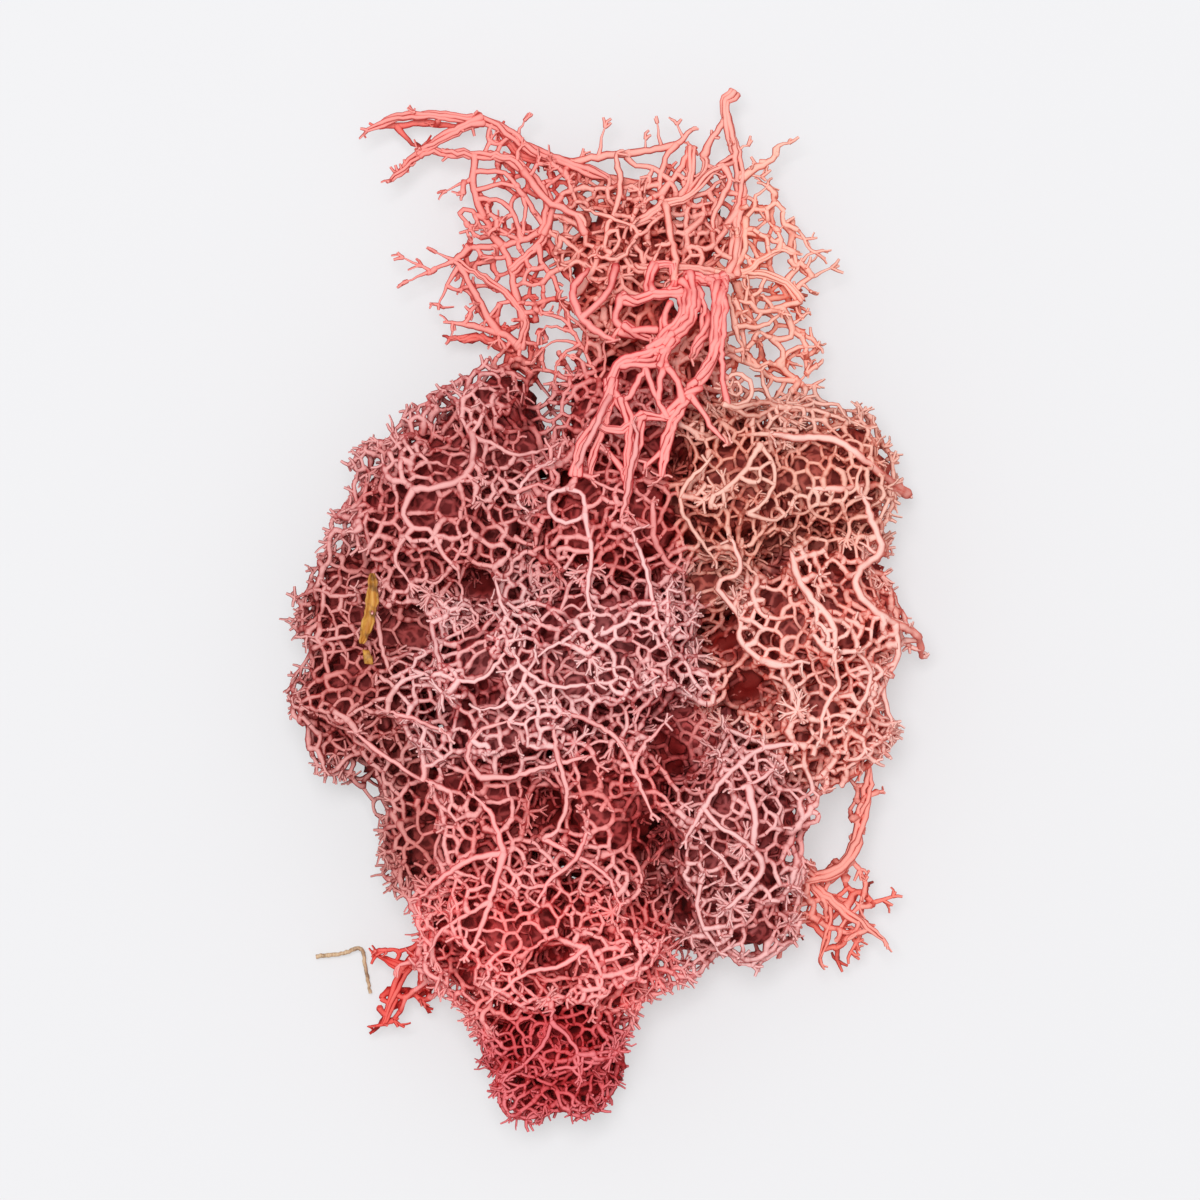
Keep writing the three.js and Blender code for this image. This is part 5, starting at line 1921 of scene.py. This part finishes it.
@dataclass(frozen=True)
class DryPlant:
    """Dry leaf or straw: papery and ochre, with veins or fibres along it and brown specks.

    Attributes:
        name: Name of the material.
        base: Colour of most of it.
        vein: Colour of its veins or fibres.
        speck: Colour of its brown specks.
        fibre_mm: Distance between two fibres.
        roughness: Roughness of its surface.
    """

    name: str
    base: str
    vein: str
    speck: str
    fibre_mm: float = 0.22
    roughness: float = 0.6

    def material(self) -> Material:
        """Build the material.

        Returns:
            The material.
        """
        # Dry plant skin: lighter fibres run along it and brown specks break up its ochre.
        material, tree = new_material(self.name)
        place = add_node(tree, "ShaderNodeTexCoord").outputs["Object"]
        blend, spread, mix = "ShaderNodeMix", "ShaderNodeMapRange", {"data_type": "RGBA", "blend_type": "MIX"}
        drawn_out = {"Vector": place, "Scale": (1.0, 0.08, 1.0)}
        stretched = add_node(tree, "ShaderNodeMapping", inputs=drawn_out).outputs["Vector"]
        fibres = {"Vector": stretched, "Scale": 1 / (self.fibre_mm * MM), "Detail": 2.0}
        fibre = add_node(tree, "ShaderNodeTexNoise", inputs=fibres).outputs["Fac"]
        lines = add_node(tree, spread, inputs={"Value": fibre, "From Min": 0.42, "From Max": 0.62}).outputs[0]
        striped = add_node(tree, blend, mix, {0: lines, 6: linear(self.base), 7: linear(self.vein)})
        spots = {"Vector": place, "Scale": 1 / (0.9 * MM), "Detail": 4.0}
        spot = add_node(tree, "ShaderNodeTexNoise", inputs=spots).outputs["Fac"]
        specks = add_node(tree, spread, inputs={"Value": spot, "From Min": 0.52, "From Max": 0.66}).outputs[0]
        colour = add_node(tree, blend, mix, {0: specks, 6: striped.outputs[2], 7: linear(self.speck)})
        relief = {"Strength": 0.5, "Distance": 0.04 * MM, "Height": fibre}
        bump = add_node(tree, "ShaderNodeBump", inputs=relief).outputs["Normal"]
        finish(tree, {"Base Color": colour.outputs[2], "Roughness": self.roughness, "Normal": bump})
        return material


def new_material(name: str) -> tuple[Material, NodeTree]:
    """Make an empty material and give its node tree."""
    material = bpy.data.materials.new(name)
    material.use_nodes = True
    material.node_tree.nodes.clear()
    return material, material.node_tree


def finish(tree: NodeTree, skin: dict[str, object]) -> None:
    """Add the shader and the output that end a material."""
    shader = add_node(tree, "ShaderNodeBsdfPrincipled", inputs=skin)
    add_node(tree, "ShaderNodeOutputMaterial", inputs={"Surface": shader.outputs["BSDF"]})


# ---- The studio ----


@dataclass
class Studio:
    """A plain pale floor, soft light and a camera straight above.

    Attributes:
        centre: Middle of the clump, seen from above.
        view_mm: Width of floor that the camera sees.
        height_mm: Height of the camera.
        floor: Colour of the floor.
        glow: Strength of the light that comes through the floor, which softens the shadows on it.
        sky: Strength of the light from all sides.
        key: Power of the softbox, in watts.
        softbox: Length of its sides, in metres.
        hung: Where it hangs, in metres.
    """

    centre: Span = (-0.5, 4.2)
    view_mm: float = 102.0
    height_mm: float = 620.0
    floor: str = "#a0a0a3"
    glow: float = 0.46
    sky: float = 0.62
    key: float = 5.1
    softbox: float = 0.3
    hung: Point = (-0.06, 0.12, 0.9)

    def build(self) -> None:
        """Set the floor, the lights and the camera."""
        shape = bmesh.new()
        bmesh.ops.create_grid(shape, x_segments=2, y_segments=2, size=1.2)
        mesh = bpy.data.meshes.new("floor")
        shape.to_mesh(mesh)
        shape.free()
        floor = put("floor", mesh)
        # Opal acrylic lit from below: pale and even, with hardly any shadow on it.
        material, tree = new_material("backlit_opal_acrylic")
        white = linear("#ffffff")
        finish(tree, {"Base Color": linear(self.floor), "Roughness": 0.9, "Emission Color": white,
                      "Emission Strength": self.glow})
        mesh.materials.append(material)
        world = bpy.data.worlds.new("studio")
        world.use_nodes = True
        world.node_tree.nodes["Background"].inputs["Strength"].default_value = self.sky
        world.node_tree.nodes["Background"].inputs["Color"].default_value = white
        bpy.context.scene.world = world
        self._hang_softbox()
        lens = bpy.data.cameras.new("camera")
        lens.sensor_width = 36
        lens.sensor_fit = "HORIZONTAL"
        lens.lens = lens.sensor_width * self.height_mm / self.view_mm
        camera = put("camera", lens)
        camera.location = Vector((*self.centre, self.height_mm)) * MM
        bpy.context.scene.camera = camera
        bpy.context.scene.view_settings.view_transform = "Standard"

    def _hang_softbox(self) -> None:
        """Hang a square softbox that points at the clump."""
        data = bpy.data.lights.new("overhead_softbox", "AREA")
        data.size = self.softbox
        data.energy = self.key
        light = put("overhead_softbox", data)
        light.location = self.hung
        light.rotation_euler = (-Vector(self.hung)).to_track_quat("-Z", "Y").to_euler()


def settle(piece: Object, node: str, material: Material) -> None:
    """Give a piece its material, and let it stand for its solid.

    Args:
        piece: The piece.
        node: Name of the solid, which is also the name of its slot.
        material: Its material.
    """
    piece.data.materials.clear()
    piece.data.materials.append(material)
    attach(piece, "root")
    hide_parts(node)
    triangles = sum(len(face.vertices) - 2 for face in piece.data.polygons)
    LOG.info("%s stands for %s, with %d triangles", piece.name, node, triangles)


def main() -> None:
    """Grow the clump, dress it, and set the studio."""
    logging.basicConfig(level=logging.INFO, format="%(name)s: %(message)s")
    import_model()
    outline, sheet = Outline(TUFTS), Sheet()
    clump = Clump(outline, sheet, ForkCloud(outline, sheet))
    lichen = DyedLichen().material()
    hearts = Hearts(outline, sheet)
    balls = hearts.balls()
    for number, (tuft, piece) in enumerate(zip(TUFTS, clump.build())):
        own = [(place, radius) for place, radius, owner in balls if owner == number]
        if own:
            hearts.add_to(piece, tuft, own)
        settle(piece, tuft.node, lichen)
    leaf = DryPlant("dry_ochre_leaf", "#b8782c", "#cf9840", "#7e5220").material()
    settle(LeafScrap().build(), "ochre_leaf_scrap", leaf)
    straw = DryPlant("dry_straw_stem", "#c29c78", "#d6ba96", "#957254", 0.12, 0.5).material()
    settle(DryStraw().build(clump.tubes), "dry_straw", straw)
    Studio().build()
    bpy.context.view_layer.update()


if __name__ == "__main__":
    main()
